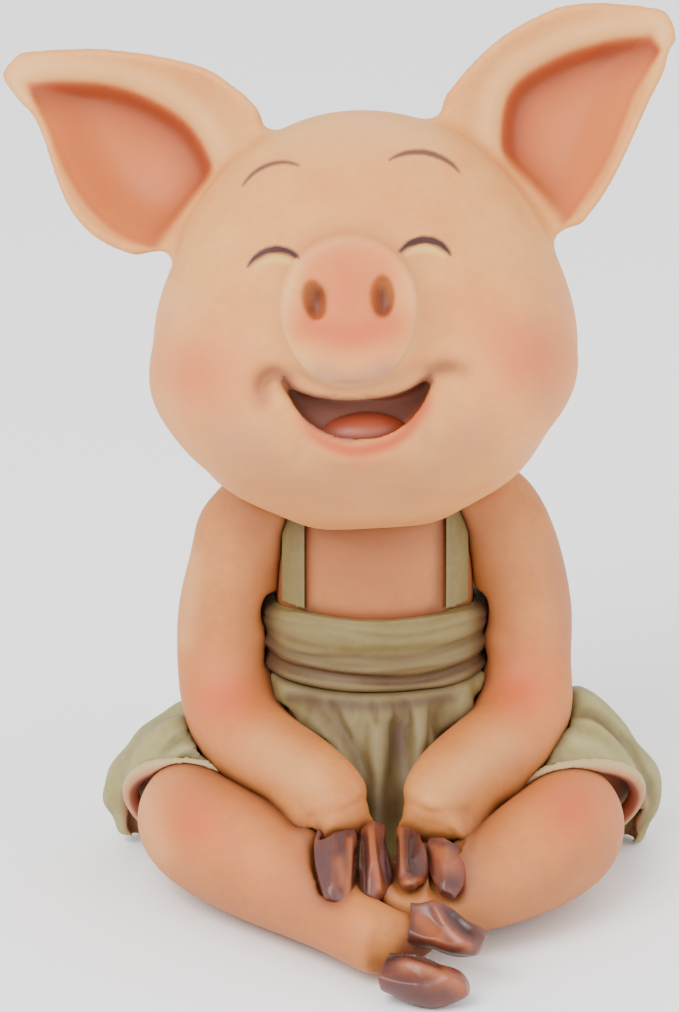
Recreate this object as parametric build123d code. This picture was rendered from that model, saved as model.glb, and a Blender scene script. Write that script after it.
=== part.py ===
from build123d import *
import math
import os

# A laughing pig figurine in a gathered sun dress, cast in resin and painted.
# It sits on the table with its ankles crossed and its trotters resting on them.
# Millimetres. X runs to the viewer's right, Y away from the viewer, Z up; the pig faces -Y.
# Left and right are the viewer's, seen from the front. The origin is on the table,
# in the middle of the flat under the seat.
# Each moulded mass is a piece of its own. It is sunk into the piece that carries it and
# trimmed by that piece's surface, so the two meet face to face as glued castings do.

LEFT = -1
RIGHT = 1
SIDES = {"left": LEFT, "right": RIGHT}

# Head
head_width = 52.8
head_depth = 50.0
head_crown = 26.9
head_jaw = 25.0
head_across = -1.4
head_forward = 3.0
head_height = 71.3
head_pitch = 22.0
head_turn = 3.5
head_tilt = 4.5
crown_shares = [(0.38, 0.915), (0.69, 0.68), (0.886, 0.353), (0.985, 0.056)]
jaw_shares = [(1.0, 0.16), (0.955, 0.4), (0.818, 0.632), (0.636, 0.812), (0.36, 0.956)]

# Cheeks, which swell beside the mouth
cheek_spread = 21.0
cheek_width = 32.0
cheek_depth = 30.0
cheek_height = 29.0
cheek_forward = 8.4
cheek_drop = 6.0

# Snout
snout_width = 16.4
snout_reach = 31.0
snout_rim = 1.4
snout_neck = 4.0
snout_root_width = 25.0
snout_root_reach = 19.0
snout_sink = 4.0
snout_drop = 0.8
nostril_spread = 7.8
nostril_width = 2.8
nostril_height = 4.6
nostril_depth = 2.4
nostril_rise = 1.0
nostril_lean = 9.0

# Mouth and tongue
mouth_width = 17.8
mouth_corner_drop = 8.6
mouth_roof_drop = 11.0
mouth_floor_drop = 15.8
mouth_back_reach = 16.5
mouth_overrun = 16.0
tongue_width = 11.6
tongue_height = 6.0
tongue_depth = 8.0
tongue_back = 1.2
tongue_drop = 14.8

# Closed eyelids, raised crescents on the face
eye_spread = 18.4
eye_width = 6.4
eye_height = 5.9
eye_arch = 1.7
eyelid_width = 0.9
eyelid_relief = 0.45

# Ears: a cupped leaf each, lofted along its length
ear_spread = 32.8
ear_root_height = 17.2
ear_root_back = 1.0
ear_rise = 35.0
ear_sweep = 6.0
ear_reach_left = 31.8
ear_reach_right = 30.2
ear_width_left = 24.3
ear_width_right = 22.8
ear_tip_thickness = 1.6
ear_root_thickness = 9.0
ear_wall = 2.4
ear_cup_share = 0.2
# Place along the ear, width, offset towards the upper rim, cup and thickness, all as shares
left_ear_shares = [
    (-0.2, 0.66, 0.0, 0.1, 1.0),
    (0.0, 0.84, 0.0, 0.15, 0.75),
    (0.25, 1.0, 0.0, 0.9, 0.2),
    (0.5, 0.885, -0.02, 1.0, 0.1),
    (0.75, 0.5, 0.03, 0.8, 0.05),
    (0.92, 0.22, 0.03, 0.5, 0.0),
    (1.0, 0.08, 0.03, 0.2, 0.0),
]
right_ear_shares = [
    (-0.2, 0.68, 0.0, 0.1, 1.0),
    (0.0, 0.9, 0.0, 0.15, 0.75),
    (0.25, 1.0, 0.03, 0.9, 0.2),
    (0.5, 0.885, 0.09, 1.0, 0.1),
    (0.75, 0.58, 0.1, 0.8, 0.05),
    (0.92, 0.3, 0.05, 0.5, 0.0),
    (1.0, 0.12, 0.02, 0.2, 0.0),
]

# Torso, an oval column whose top is the tenon for the head
neck_drop = 17.3
torso_width = 26.0
torso_depth = 22.8
torso_top = head_height - neck_drop
torso_foot = 20.0
torso_profile_shares = [(1.0, 0.0), (0.98, 0.25), (0.95, 0.5), (0.9, 0.7), (0.78, 0.82), (0.64, 1.0)]

# Shirred bodice and its straps
bodice_bottom = 26.8
bodice_top = 36.4
bodice_wall = 1.1
bodice_band_shares = [0.18, 0.16, 0.2, 0.46]
bodice_puff = 0.5
strap_spread = 20.4
strap_width = 2.8
strap_wall = 0.7
strap_lift = 1.2

# Skirt over the seat, on the table
skirt_width = 42.0
skirt_depth = 41.0
skirt_back = 2.5
skirt_profile_shares = [(0.9, 0.0), (0.99, 0.14), (0.98, 0.34), (0.89, 0.57), (0.79, 0.78), (0.69, 1.0)]

# Gathered front of the skirt, between the forearms
apron_waist_width = 29.0
apron_waist_reach = 13.4
apron_hem_width = 31.0
apron_hem_reach = 29.0
apron_hem_height = 2.0
apron_flutes = 7
apron_flute_top = 0.35
apron_flute_hem = 1.3
apron_middle_share = 0.45

# Puffed legs of the dress: tail under the hip, middle, and mouth round the knee, which
# leans back towards the table
puff_tail_spread = 18.0
puff_tail_back = 13.0
puff_tail_width = 12.0
puff_tail_rise = 10.0
puff_middle_spread = 43.4
puff_middle_back = -0.5
puff_middle_height = 6.2
puff_width = 31.5
puff_rise = 27.0
puff_mouth_spread = 42.8
puff_mouth_forward = 6.1
puff_mouth_width = 24.6
puff_mouth_rise = 16.3
puff_heading = 24.0
left_mouth_slope = 28.0
right_mouth_slope = 30.0
puff_wall = 1.5
puff_reveal = 3.0
# Place from the middle to the tail or the mouth, size from the middle's to theirs
puff_tail_shares = [(1.0, 1.0), (0.82, 0.6), (0.45, 0.16), (0.1, 0.0)]
# The same, with the share of the mouth's slope
puff_mouth_shares = [(0.35, 0.12, 0.3), (0.7, 0.5, 0.68), (1.0, 1.0, 1.0)]
hem_roll = 1.1
hem_press = 0.6

# Arms: root in the torso, shoulder, upper arm, elbow, forearm and wrist
arm_middle = 0.4
arm_root_spread = 12.0
arm_root_height = 48.2
arm_root_width = 9.0
shoulder_spread = 28.6
shoulder_height = 45.2
shoulder_back = 2.0
upper_arm_spread = 36.0
upper_arm_height = 35.5
upper_arm_back = 1.0
elbow_spread = 37.0
elbow_height = 22.6
elbow_forward = 3.0
forearm_spread = 24.6
forearm_height = 18.8
forearm_forward = 15.0
hands_middle = 1.6
wrist_spread = 10.6
wrist_height = 15.0
wrist_forward = 27.5
shoulder_width = 12.6
upper_arm_width = 12.2
elbow_width = 12.4
forearm_width = 10.6
wrist_width = 8.6

# Legs, from the puffed opening round the knee to the foot; the left one crosses in front
leg_middle = 1.2
leg_root_width = 14.6
leg_root_sink = 1.5
knee_spread = 44.2
knee_height = 9.2
knee_forward = 15.2
knee_width = 14.8
left_calf_across = -10.5
left_calf_forward = 27.0
left_calf_height = 7.5
left_shin_across = -4.6
left_shin_forward = 34.8
left_shin_height = 6.2
left_ankle_across = 1.4
left_ankle_forward = 41.6
left_ankle_height = 5.3
right_calf_across = 16.2
right_calf_forward = 27.0
right_calf_height = 9.0
right_shin_across = 8.4
right_shin_forward = 32.6
right_shin_height = 7.8
right_ankle_across = 0.4
right_ankle_forward = 31.4
right_ankle_height = 7.4
calf_width = 13.2
shin_width = 9.8
ankle_width = 9.4

# Cloven hooves: the claws of the hands and feet, as start, end and size
claw_swell_share = 1.08
claw_taper_share = 0.82
claw_tip_share = 0.42
claw_bevel_share = 0.36
claw_slant = 32.0
claw_sink = 1.6
hand_claw_length = 11.6
hand_claw_fall = 35.0
outer_claw_width = 5.5
outer_claw_depth = 4.8
outer_claw_spread = 13.0
outer_claw_height = 14.6
outer_claw_forward = 29.0
outer_claw_splay = 3.0
inner_claw_width = 3.9
inner_claw_depth = 4.6
inner_claw_spread = 4.4
inner_claw_height = 15.2
inner_claw_forward = 28.4
inner_claw_splay = 2.0
foot_claw_length = 11.0
foot_claw_width = 8.0
foot_claw_depth = 7.2
front_upper_claw = (4.6, 41.6, 7.9)
front_upper_heading = 14.0
front_upper_fall = 14.0
front_lower_claw = (1.6, 46.0, 4.2)
front_lower_heading = 14.0
front_lower_fall = 6.0


def ellipsoid(width, depth, height):
    """A ball stretched to three full sizes, centred on the origin."""
    return scale(Sphere(1), by=(width / 2, depth / 2, height / 2))


def oval_loft(levels):
    """A smooth upright body through ovals given as width, depth and height."""
    return loft([Pos(0, 0, height) * Ellipse(width / 2, depth / 2) for width, depth, height in levels])


def limb(stations, reference):
    """A plump limb: a smooth loft through round sections strung along a curve."""
    route = Spline(*[point for point, _ in stations])
    rings = []
    for point, width in stations:
        heading = route.tangent_at(route.param_at_point(point))
        ring = Plane(origin=point, x_dir=heading.cross(Vector(*reference)), z_dir=heading)
        rings.append(ring * Circle(width / 2))
    return loft(rings)


def above_table(piece):
    """The piece with all that would reach below the table taken off, which leaves its flat foot."""
    return split(piece, bisect_by=Plane.XY, keep=Keep.TOP)


def seated(piece, *carriers):
    """The piece trimmed by the surfaces of what carries or touches it, as one solid."""
    for carrier in carriers:
        piece = piece - carrier
    return max(piece.solids(), key=lambda solid: solid.volume)


# Head, in its own frame: the face looks along -Y and is then pitched, turned and tilted
head_frame = (
    Pos(head_across, -head_forward, head_height)
    * Rot(Z=-head_turn)
    * Rot(X=-head_pitch)
    * Rot(Y=-head_tilt)
)


def skull_shape(growth):
    """The bare skull, with its half width grown by the given length on every side."""
    half = head_width / 2 + growth
    crown = head_crown + growth
    jaw = head_jaw + growth
    outline = [(0, crown)]
    outline += [(across * half, up * crown) for across, up in crown_shares]
    outline += [(across * half, -down * jaw) for across, down in jaw_shares]
    outline += [(0, -jaw)]
    edge = Spline(*outline, tangents=[(1, 0), (-1, 0)])
    face = Plane.XZ * make_face([edge, Line(outline[-1], outline[0])])
    depth_share = (head_depth / 2 + growth) / half
    return scale(revolve(face, axis=Axis.Z), by=(1, depth_share, 1))


def mouth_shape():
    """The smile, a crescent prism that opens forwards from the back of the mouth."""
    left_corner = (-mouth_width / 2, -mouth_corner_drop)
    right_corner = (mouth_width / 2, -mouth_corner_drop)
    roof = ThreePointArc(left_corner, (0, -mouth_roof_drop), right_corner)
    floor = ThreePointArc(left_corner, (0, -mouth_floor_drop), right_corner)
    smile = Plane.XZ.offset(mouth_back_reach) * make_face([roof, floor])
    return extrude(smile, amount=mouth_overrun)


def head_shape(mouth):
    """Skull and cheeks as one casting, hollowed at the mouth."""
    head = skull_shape(0)
    for side in (LEFT, RIGHT):
        place = Pos(side * cheek_spread / 2, -cheek_forward, -cheek_drop)
        head = head + place * ellipsoid(cheek_width, cheek_depth, cheek_height)
    return head - mouth


def snout_shape():
    """The snout: a turned disc on a flaring muzzle, with two oval nostrils."""
    disc = snout_width / 2
    root = snout_root_width / 2
    front = snout_reach
    base = snout_root_reach - snout_sink
    rim = snout_rim * math.sqrt(0.5)
    flare = Spline(
        (disc, front - snout_rim),
        (disc, front - snout_neck),
        (root, snout_root_reach),
        tangents=[(0, -1), (1, -1)],
    )
    edge = ThreePointArc(
        (disc - snout_rim, front),
        (disc - snout_rim + rim, front - snout_rim + rim),
        (disc, front - snout_rim),
    )
    rest = Polyline((root, snout_root_reach), (root, base), (0, base), (0, front), (disc - snout_rim, front))
    face = make_face([flare, edge, *rest.edges()])
    snout = revolve(Plane.XZ * face, axis=Axis.Z)
    snout = Pos(0, 0, -snout_drop) * Rot(X=90) * snout
    for side in (LEFT, RIGHT):
        place = Pos(side * nostril_spread / 2, -front, nostril_rise - snout_drop)
        hole = ellipsoid(nostril_width, 2 * nostril_depth, nostril_height)
        snout = snout - place * Rot(Y=side * nostril_lean) * hole
    return snout


def eyelid_shape(side, skull):
    """A closed eyelid, a crescent that stands proud of the skull."""
    inner = (side * (eye_spread - eye_width) / 2, eye_height)
    outer = (side * (eye_spread + eye_width) / 2, eye_height)
    upper = ThreePointArc(inner, (side * eye_spread / 2, eye_height + eye_arch + eyelid_width / 2), outer)
    lower = ThreePointArc(inner, (side * eye_spread / 2, eye_height + eye_arch - eyelid_width / 2), outer)
    crescent = Plane.XZ * make_face([upper, lower])
    band = extrude(crescent, amount=head_depth)
    return (band & skull_shape(eyelid_relief)) - skull


def ear_section(width, cup, thickness):
    """One slice of an ear: a hollow front, a full back and two rounded rims."""
    half = width / 2
    rim = ear_tip_thickness
    bulge = rim / 2
    front = ThreePointArc((0, -half), (-cup, 0), (0, half))
    upper = ThreePointArc((0, half), (-rim / 2, half + bulge), (-rim, half))
    back = ThreePointArc((-rim, half), (-cup - thickness, 0), (-rim, -half))
    lower = ThreePointArc((-rim, -half), (-rim / 2, -half - bulge), (0, -half))
    return make_face([front, upper, back, lower])


def ear_shape(reach, breadth, shares):
    """The left ear in the head's frame: slices lofted from inside the head out to the tip."""
    aim = Vector(-1, 0, 0).rotate(Axis.Y, ear_rise).rotate(Axis.Z, -ear_sweep)
    root = Vector(-ear_spread / 2, ear_root_back, ear_root_height)
    facing = Vector(0, -1, 0).rotate(Axis.Z, -ear_sweep)
    across = aim.cross(facing)
    slices = []
    for along, width, offset, cup, thickness in shares:
        centre = root + aim * (along * reach) + across * (offset * breadth)
        wall = ear_wall + thickness * (ear_root_thickness - ear_wall)
        hollow = cup * ear_cup_share * width * breadth
        plane = Plane(origin=centre, x_dir=facing, z_dir=aim)
        slices.append(plane * ear_section(width * breadth, hollow, wall))
    return loft(slices)


# Torso, bodice and straps
def torso_shape(growth):
    """The torso, with its walls grown by the given length."""
    rise = torso_top - torso_foot
    return oval_loft(
        [
            (share * torso_width + 2 * growth, share * torso_depth + 2 * growth, torso_foot + up * rise)
            for share, up in torso_profile_shares
        ]
    )


def bodice_shape():
    """A shirred tube: soft bands stacked one above the other, the broadest on top."""
    width = torso_width + 2 * bodice_wall
    depth = torso_depth + 2 * bodice_wall
    bodice = Part()
    foot = bodice_bottom
    for share in bodice_band_shares:
        rise = share * (bodice_top - bodice_bottom)
        band = oval_loft(
            [
                (width, depth, 0),
                (width + 2 * bodice_puff, depth + 2 * bodice_puff, rise / 2),
                (width, depth, rise),
            ]
        )
        bodice += Pos(0, 0, foot) * band
        foot += rise
    return bodice


def strap_shape(side):
    """A strap that runs up the chest, over the shoulder and down the back."""
    low = bodice_top - strap_lift
    rise = torso_top - low
    slab = Pos(side * strap_spread / 2, 0, low + rise / 2) * Box(strap_width, 2 * torso_depth, rise)
    return torso_shape(strap_wall) & slab


# Dress below the waist
def skirt_shape():
    """The skirt spread over the seat, flat on the table."""
    levels = [
        (share * skirt_width, share * skirt_depth, up * bodice_bottom)
        for share, up in skirt_profile_shares
    ]
    return Pos(leg_middle, skirt_back, 0) * oval_loft(levels)


def apron_section(width, reach, flute, height):
    """One level of the gathered front: a fluted bow in front and a straight back."""
    count = 2 * apron_flutes
    bow = []
    for step in range(count + 1):
        turn = math.pi * step / count
        swell = flute if step % 2 else -flute
        bow.append((-(width / 2 + swell) * math.cos(turn), -(reach + swell) * math.sin(turn)))
    edge = Spline(*bow)
    return Pos(0, 0, height) * make_face([edge, Line(bow[-1], bow[0])])


def apron_shape():
    """The gathered front of the skirt, lofted from the waist down to the lap."""
    rise = bodice_bottom - apron_hem_height
    share = apron_middle_share
    middle_width = apron_waist_width + share * (apron_hem_width - apron_waist_width)
    middle_reach = apron_waist_reach + share * (apron_hem_reach - apron_waist_reach)
    middle_flute = apron_flute_top + share * (apron_flute_hem - apron_flute_top)
    hem = apron_section(apron_hem_width, apron_hem_reach, apron_flute_hem, apron_hem_height)
    middle = apron_section(middle_width, middle_reach, middle_flute, bodice_bottom - share * rise)
    waist = apron_section(apron_waist_width, apron_waist_reach, apron_flute_top, bodice_bottom)
    return loft([hem, middle, waist])


puff_mouth_height = puff_mouth_rise / 2 + hem_roll - hem_press
mouth_slopes = {LEFT: left_mouth_slope, RIGHT: right_mouth_slope}


def puff_plane(side, spread, forward, height, slope):
    """A plane across the thigh, at its place beside the middle, which leans back by the slope."""
    turn = math.radians(puff_heading)
    lean = math.radians(slope)
    outward = Vector(side * math.sin(turn), -math.cos(turn), 0)
    return Plane(
        origin=(leg_middle + side * spread / 2, -forward, height),
        x_dir=Vector(side * math.cos(turn), math.sin(turn), 0),
        z_dir=outward * math.cos(lean) - Vector(0, 0, math.sin(lean)),
    )


def mouth_plane(side, back):
    """The plane of a puff's mouth, moved back into the puff."""
    turn = math.radians(puff_heading)
    spread = puff_mouth_spread - 2 * back * math.sin(turn)
    forward = puff_mouth_forward - back * math.cos(turn)
    return puff_plane(side, spread, forward, puff_mouth_height, mouth_slopes[side])


def leaning_oval(width, rise, slope):
    """An oval as high as it would be upright, however far its plane leans back."""
    return Ellipse(width / 2, rise / 2 / math.cos(math.radians(slope)))


def puff_body(side, wall):
    """The egg of a puffed leg inside the given wall, from its tail up to its leaning mouth."""
    def between(share, middle, end):
        return middle + share * (end - middle)

    rings = []
    for place, size in puff_tail_shares:
        spread = between(place, puff_middle_spread, puff_tail_spread)
        forward = between(place, -puff_middle_back, -puff_tail_back)
        width = between(size, puff_width, puff_tail_width) - 2 * wall
        rise = between(size, puff_rise, puff_tail_rise) - 2 * wall
        rings.append(puff_plane(side, spread, forward, puff_middle_height, 0) * leaning_oval(width, rise, 0))
    for place, size, lean in puff_mouth_shares:
        spread = between(place, puff_middle_spread, puff_mouth_spread)
        forward = between(place, -puff_middle_back, puff_mouth_forward)
        height = between(place, puff_middle_height, puff_mouth_height)
        width = between(size, puff_width, puff_mouth_width) - 2 * wall
        rise = between(size, puff_rise, puff_mouth_rise) - 2 * wall
        slope = lean * mouth_slopes[side]
        plane = puff_plane(side, spread, forward, height, slope)
        rings.append(plane * leaning_oval(width, rise, slope))
    return loft(rings)


def puff_shape(side):
    """A puffed leg of the dress, cut off at the knee and hollow behind its rim."""
    hollow = split(puff_body(side, puff_wall), bisect_by=mouth_plane(side, puff_reveal), keep=Keep.TOP)
    return puff_body(side, 0) - hollow


def hem_shape(side):
    """The rolled hem round the knee, a ring on the rim of the puffed leg."""
    oval = leaning_oval(puff_mouth_width - puff_wall, puff_mouth_rise - puff_wall, mouth_slopes[side])
    rim = mouth_plane(side, 0) * oval.edge()
    start = Plane(origin=rim.position_at(0), z_dir=rim.tangent_at(0))
    return sweep(start * Circle(hem_roll), path=rim)


# Arms and legs
def arm_shape(side):
    """An arm from inside the torso over the shoulder and round the elbow to the wrist."""
    def spread(middle, width):
        return middle + side * width / 2

    return limb(
        [
            ((spread(arm_middle, arm_root_spread), shoulder_back, arm_root_height), arm_root_width),
            ((spread(arm_middle, shoulder_spread), shoulder_back, shoulder_height), shoulder_width),
            ((spread(arm_middle, upper_arm_spread), upper_arm_back, upper_arm_height), upper_arm_width),
            ((spread(arm_middle, elbow_spread), -elbow_forward, elbow_height), elbow_width),
            ((spread(arm_middle, forearm_spread), -forearm_forward, forearm_height), forearm_width),
            ((spread(hands_middle, wrist_spread), -wrist_forward, wrist_height), wrist_width),
        ],
        reference=(1, 0, 0),
    )


def leg_shape(side, calf, shin, ankle):
    """A leg that leaves its puff along the thigh, turns at the knee and runs in to its foot."""
    root = mouth_plane(side, puff_reveal + leg_root_sink).origin
    return limb(
        [
            (tuple(root), leg_root_width),
            ((leg_middle + side * knee_spread / 2, -knee_forward, knee_height), knee_width),
            (calf, calf_width),
            (shin, shin_width),
            (ankle, ankle_width),
        ],
        reference=(0, 0, -side),
    )


# Hooves
def claw_shape(width, depth, length):
    """A claw along +Z: a swelling block with a blunt tip and two carved flats on its front."""
    levels = [(0, 1.0), (0.4, claw_swell_share), (0.78, claw_taper_share), (1.0, claw_tip_share)]
    rings = [
        Pos(0, 0, along * length) * Ellipse(share * width / 2, share * depth / 2)
        for along, share in levels
    ]
    claw = loft(rings)
    for side in (LEFT, RIGHT):
        flat = Plane(
            origin=(0, -claw_bevel_share * depth, 0),
            z_dir=Vector(0, -1, 0).rotate(Axis.Z, side * claw_slant),
        )
        claw = split(claw, bisect_by=flat, keep=Keep.BOTTOM)
    return claw


def hand_claw(side, spread, forward, height, width, depth, splay):
    """A claw of a hand, which falls forwards from the wrist onto the crossed ankles."""
    place = Pos(hands_middle + side * spread / 2, -forward, height)
    lean = Rot(Y=-side * splay) * Rot(X=180 - (90 - hand_claw_fall))
    return place * lean * Rot(Z=180) * Pos(0, 0, -claw_sink) * claw_shape(width, depth, hand_claw_length)


def foot_claw(place, heading, fall):
    """A claw of a foot, which lies along the table, turned to its heading from +X."""
    x, forward, height = place
    lying = Rot(Z=-heading) * Rot(Y=90 + fall) * Rot(Z=-90)
    claw = claw_shape(foot_claw_width, foot_claw_depth, foot_claw_length)
    return Pos(x, -forward, height) * lying * Pos(0, 0, -claw_sink) * claw


os.makedirs("parts", exist_ok=True)
parts = {}

# The torso carries the head on its neck, which sinks into the jaw
torso = torso_shape(0)
parts["torso"] = torso

mouth = mouth_shape()
skull = head_shape(mouth)
parts["head"] = seated(head_frame * skull, torso)
head = parts["head"]

snout = snout_shape() - mouth
parts["snout"] = seated(head_frame * snout, head)
tongue_place = Pos(0, tongue_back - mouth_back_reach, -tongue_drop)
tongue = (tongue_place * ellipsoid(tongue_width, tongue_depth, tongue_height)) & mouth
parts["tongue"] = seated(head_frame * tongue, head, parts["snout"])
for name, side in SIDES.items():
    parts[f"{name}_eyelid"] = seated(head_frame * eyelid_shape(side, skull), parts["snout"])

left_ear = ear_shape(ear_reach_left, ear_width_left, left_ear_shares)
right_ear = mirror(ear_shape(ear_reach_right, ear_width_right, right_ear_shares), about=Plane.YZ)
parts["left_ear"] = seated(head_frame * left_ear, head)
parts["right_ear"] = seated(head_frame * right_ear, head)

# The bodice and straps lie on the torso, and the arms on them
parts["bodice"] = seated(bodice_shape(), torso)
bodice = parts["bodice"]
whole_arms = []
for name, side in SIDES.items():
    strap = seated(strap_shape(side), torso, bodice, head)
    arm = arm_shape(side)
    parts[f"{name}_strap"] = strap
    parts[f"{name}_arm"] = seated(arm, torso, head, bodice, strap)
    whole_arms.append(arm)

# The claws of the hands hang from the wrists, side by side
hand_claws = {
    "outer": (
        outer_claw_spread,
        outer_claw_forward,
        outer_claw_height,
        outer_claw_width,
        outer_claw_depth,
        outer_claw_splay,
    ),
    "inner": (
        inner_claw_spread,
        inner_claw_forward,
        inner_claw_height,
        inner_claw_width,
        inner_claw_depth,
        inner_claw_splay,
    ),
}
claws = []
for (name, side), arm in zip(SIDES.items(), whole_arms):
    for which, sizes in hand_claws.items():
        claw = seated(hand_claw(side, *sizes), arm, *claws)
        parts[f"{name}_hand_{which}_claw"] = claw
        claws.append(claw)

# The legs cross in front under the hands, and the left one is whole where they meet
left_leg = above_table(
    leg_shape(
        LEFT,
        (left_calf_across, -left_calf_forward, left_calf_height),
        (left_shin_across, -left_shin_forward, left_shin_height),
        (left_ankle_across, -left_ankle_forward, left_ankle_height),
    )
)
right_leg = above_table(
    leg_shape(
        RIGHT,
        (right_calf_across, -right_calf_forward, right_calf_height),
        (right_shin_across, -right_shin_forward, right_shin_height),
        (right_ankle_across, -right_ankle_forward, right_ankle_height),
    )
)
parts["left_leg"] = seated(left_leg, whole_arms[0], *claws)
parts["right_leg"] = seated(right_leg, whole_arms[1], *claws, left_leg)
whole_legs = [left_leg, right_leg]

# The dress below the waist lies round the torso, under the arms and round the knees
skirt = skirt_shape()
parts["skirt"] = seated(skirt, torso, *whole_arms, *whole_legs)
whole_puffs = []
for (name, side), arm, leg in zip(SIDES.items(), whole_arms, whole_legs):
    puff = above_table(puff_shape(side))
    parts[f"{name}_skirt_puff"] = seated(puff, skirt, arm, leg)
    parts[f"{name}_hem"] = seated(above_table(hem_shape(side)), puff, skirt, arm, leg)
    whole_puffs.append(puff)
parts["skirt_front"] = seated(apron_shape(), skirt, torso, *whole_puffs, *whole_arms, *whole_legs)

# The claws of the front foot lie side by side on the table; the rear foot is out of sight
foot_claws = {
    "left_foot_upper_claw": (front_upper_claw, front_upper_heading, front_upper_fall),
    "left_foot_lower_claw": (front_lower_claw, front_lower_heading, front_lower_fall),
}
for name, placing in foot_claws.items():
    claw = seated(above_table(foot_claw(*placing)), left_leg, *claws)
    parts[name] = claw
    claws.append(claw)

for name, shape in parts.items():
    export_step(shape, f"parts/{name}.step")
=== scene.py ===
import math

import bpy
import numpy as np
from mathutils import Matrix, Vector
from mathutils.bvhtree import BVHTree


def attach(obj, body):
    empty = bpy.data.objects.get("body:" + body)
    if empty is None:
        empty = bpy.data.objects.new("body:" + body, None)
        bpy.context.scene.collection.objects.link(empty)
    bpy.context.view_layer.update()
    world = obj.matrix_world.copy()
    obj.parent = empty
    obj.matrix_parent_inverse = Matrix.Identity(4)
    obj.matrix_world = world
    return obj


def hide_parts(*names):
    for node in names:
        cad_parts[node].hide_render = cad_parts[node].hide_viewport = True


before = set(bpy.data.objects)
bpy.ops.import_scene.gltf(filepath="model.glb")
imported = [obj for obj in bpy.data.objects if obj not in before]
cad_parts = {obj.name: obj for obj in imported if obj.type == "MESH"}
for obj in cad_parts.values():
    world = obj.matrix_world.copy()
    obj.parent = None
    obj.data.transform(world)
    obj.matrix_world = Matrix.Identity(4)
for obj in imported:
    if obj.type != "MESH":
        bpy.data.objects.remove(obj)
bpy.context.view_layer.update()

# A hand-painted resin pig in a sun dress. Places are written in millimetres.
MM = 0.001

# The head's own frame: across, forwards (minus) and up from the middle of the skull
HEAD = (
    Matrix.Translation(Vector((-1.4, -3.0, 71.3)))
    @ Matrix.Rotation(math.radians(-3.5), 4, "Z")
    @ Matrix.Rotation(math.radians(-22.0), 4, "X")
    @ Matrix.Rotation(math.radians(-4.5), 4, "Y")
)

# The photograph's view: strokes that it shows are placed by their pixels in it
FRAME_WIDTH = 679
FRAME_HEIGHT = 1012
CAMERA_PLACE = np.array((-4.4375, -665.74, 263.39))
CAMERA_TILT = math.radians(72.0)
LENS = 199.2
SENSOR = 36.0
FOCAL = LENS / SENSOR * FRAME_HEIGHT
AHEAD = np.array((0, math.sin(CAMERA_TILT), -math.cos(CAMERA_TILT)))
UPWARD = np.array((0, math.cos(CAMERA_TILT), math.sin(CAMERA_TILT)))

# How far skin has to face the camera for a stroke to land on it
FRONT_ONLY = 0.0
ALL_ROUND = -2.0

# Loose triangles are merged within this, in metres
MERGE_WITHIN = 0.00001

# How finely each skin is cast, in millimetres
GRAIN = {"broad": 0.42, "bodice": 0.28, "hem": 0.25, "tongue": 0.22, "strap": 0.2, "claw": 0.17}

# In how many directions a claw's outline is measured
TURN_STEPS = 60


# Modelling helpers
def nothing_selected():
    if bpy.context.object and bpy.context.object.mode != "OBJECT":
        bpy.ops.object.mode_set(mode="OBJECT")
    bpy.ops.object.select_all(action="DESELECT")


def pick(piece):
    nothing_selected()
    piece.select_set(True)
    bpy.context.view_layer.objects.active = piece


def finish_with(piece, kind, **settings):
    """Adds a modifier, sets it and applies it."""
    pick(piece)
    modifier = piece.modifiers.new(kind.lower(), kind)
    for key, value in settings.items():
        setattr(modifier, key, value)
    bpy.ops.object.modifier_apply(modifier=modifier.name)


def merge_doubles():
    """Joins the loose triangles of the mesh that is open in edit mode."""
    bpy.ops.mesh.select_all(action="SELECT")
    bpy.ops.mesh.remove_doubles(threshold=MERGE_WITHIN)


def casting(name, nodes, voxel, fillers=()):
    """One skin over the shapes of these nodes, ready to be sculpted; it replaces them."""
    copies = []
    for node in nodes:
        copy = bpy.data.objects.new(name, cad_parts[node].data.copy())
        copy.data.materials.clear()
        bpy.context.collection.objects.link(copy)
        copies.append(copy)
    nothing_selected()
    copies += fillers
    for copy in copies:
        copy.select_set(True)
    piece = copies[0]
    bpy.context.view_layer.objects.active = piece
    if len(copies) > 1:
        bpy.ops.object.join()
    piece.name = name
    bpy.ops.object.mode_set(mode="EDIT")
    merge_doubles()
    bpy.ops.object.mode_set(mode="OBJECT")
    finish_with(piece, "REMESH", mode="VOXEL", voxel_size=voxel * MM, adaptivity=0.0)
    bpy.ops.object.shade_smooth()
    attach(piece, "root")
    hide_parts(*nodes)
    return piece


def read_points(piece, field):
    flat = np.empty(len(piece.data.vertices) * 3)
    piece.data.vertices.foreach_get(field, flat)
    return flat.reshape(-1, 3)


def points_of(piece):
    return read_points(piece, "co") / MM


def normals_of(piece):
    return read_points(piece, "normal")


def move_points(piece, points):
    piece.data.vertices.foreach_set("co", (points * MM).ravel())
    piece.data.update()


def edges_of(piece):
    flat = np.empty(len(piece.data.edges) * 2, dtype=np.int64)
    piece.data.edges.foreach_get("vertices", flat)
    return flat.reshape(-1, 2)


def averaged(values, edges, rounds):
    """Values, or points, averaged with their neighbours so many times."""
    count = np.bincount(edges.ravel(), minlength=len(values)).astype(float)
    count[count == 0] = 1
    values = values.reshape(len(values), -1).astype(float)
    for _ in range(rounds):
        total = np.zeros_like(values)
        for column in range(values.shape[1]):
            total[:, column] = np.bincount(edges[:, 0], values[edges[:, 1], column], len(values))
            total[:, column] += np.bincount(edges[:, 1], values[edges[:, 0], column], len(values))
        values = values / 2 + total / count[:, None] / 2
    return values


def falloff(distance, reach):
    """1 at the middle, easing to 0 at the reach."""
    inside = np.clip(1 - (distance / reach) ** 2, 0, 1)
    return inside ** 2


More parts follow.
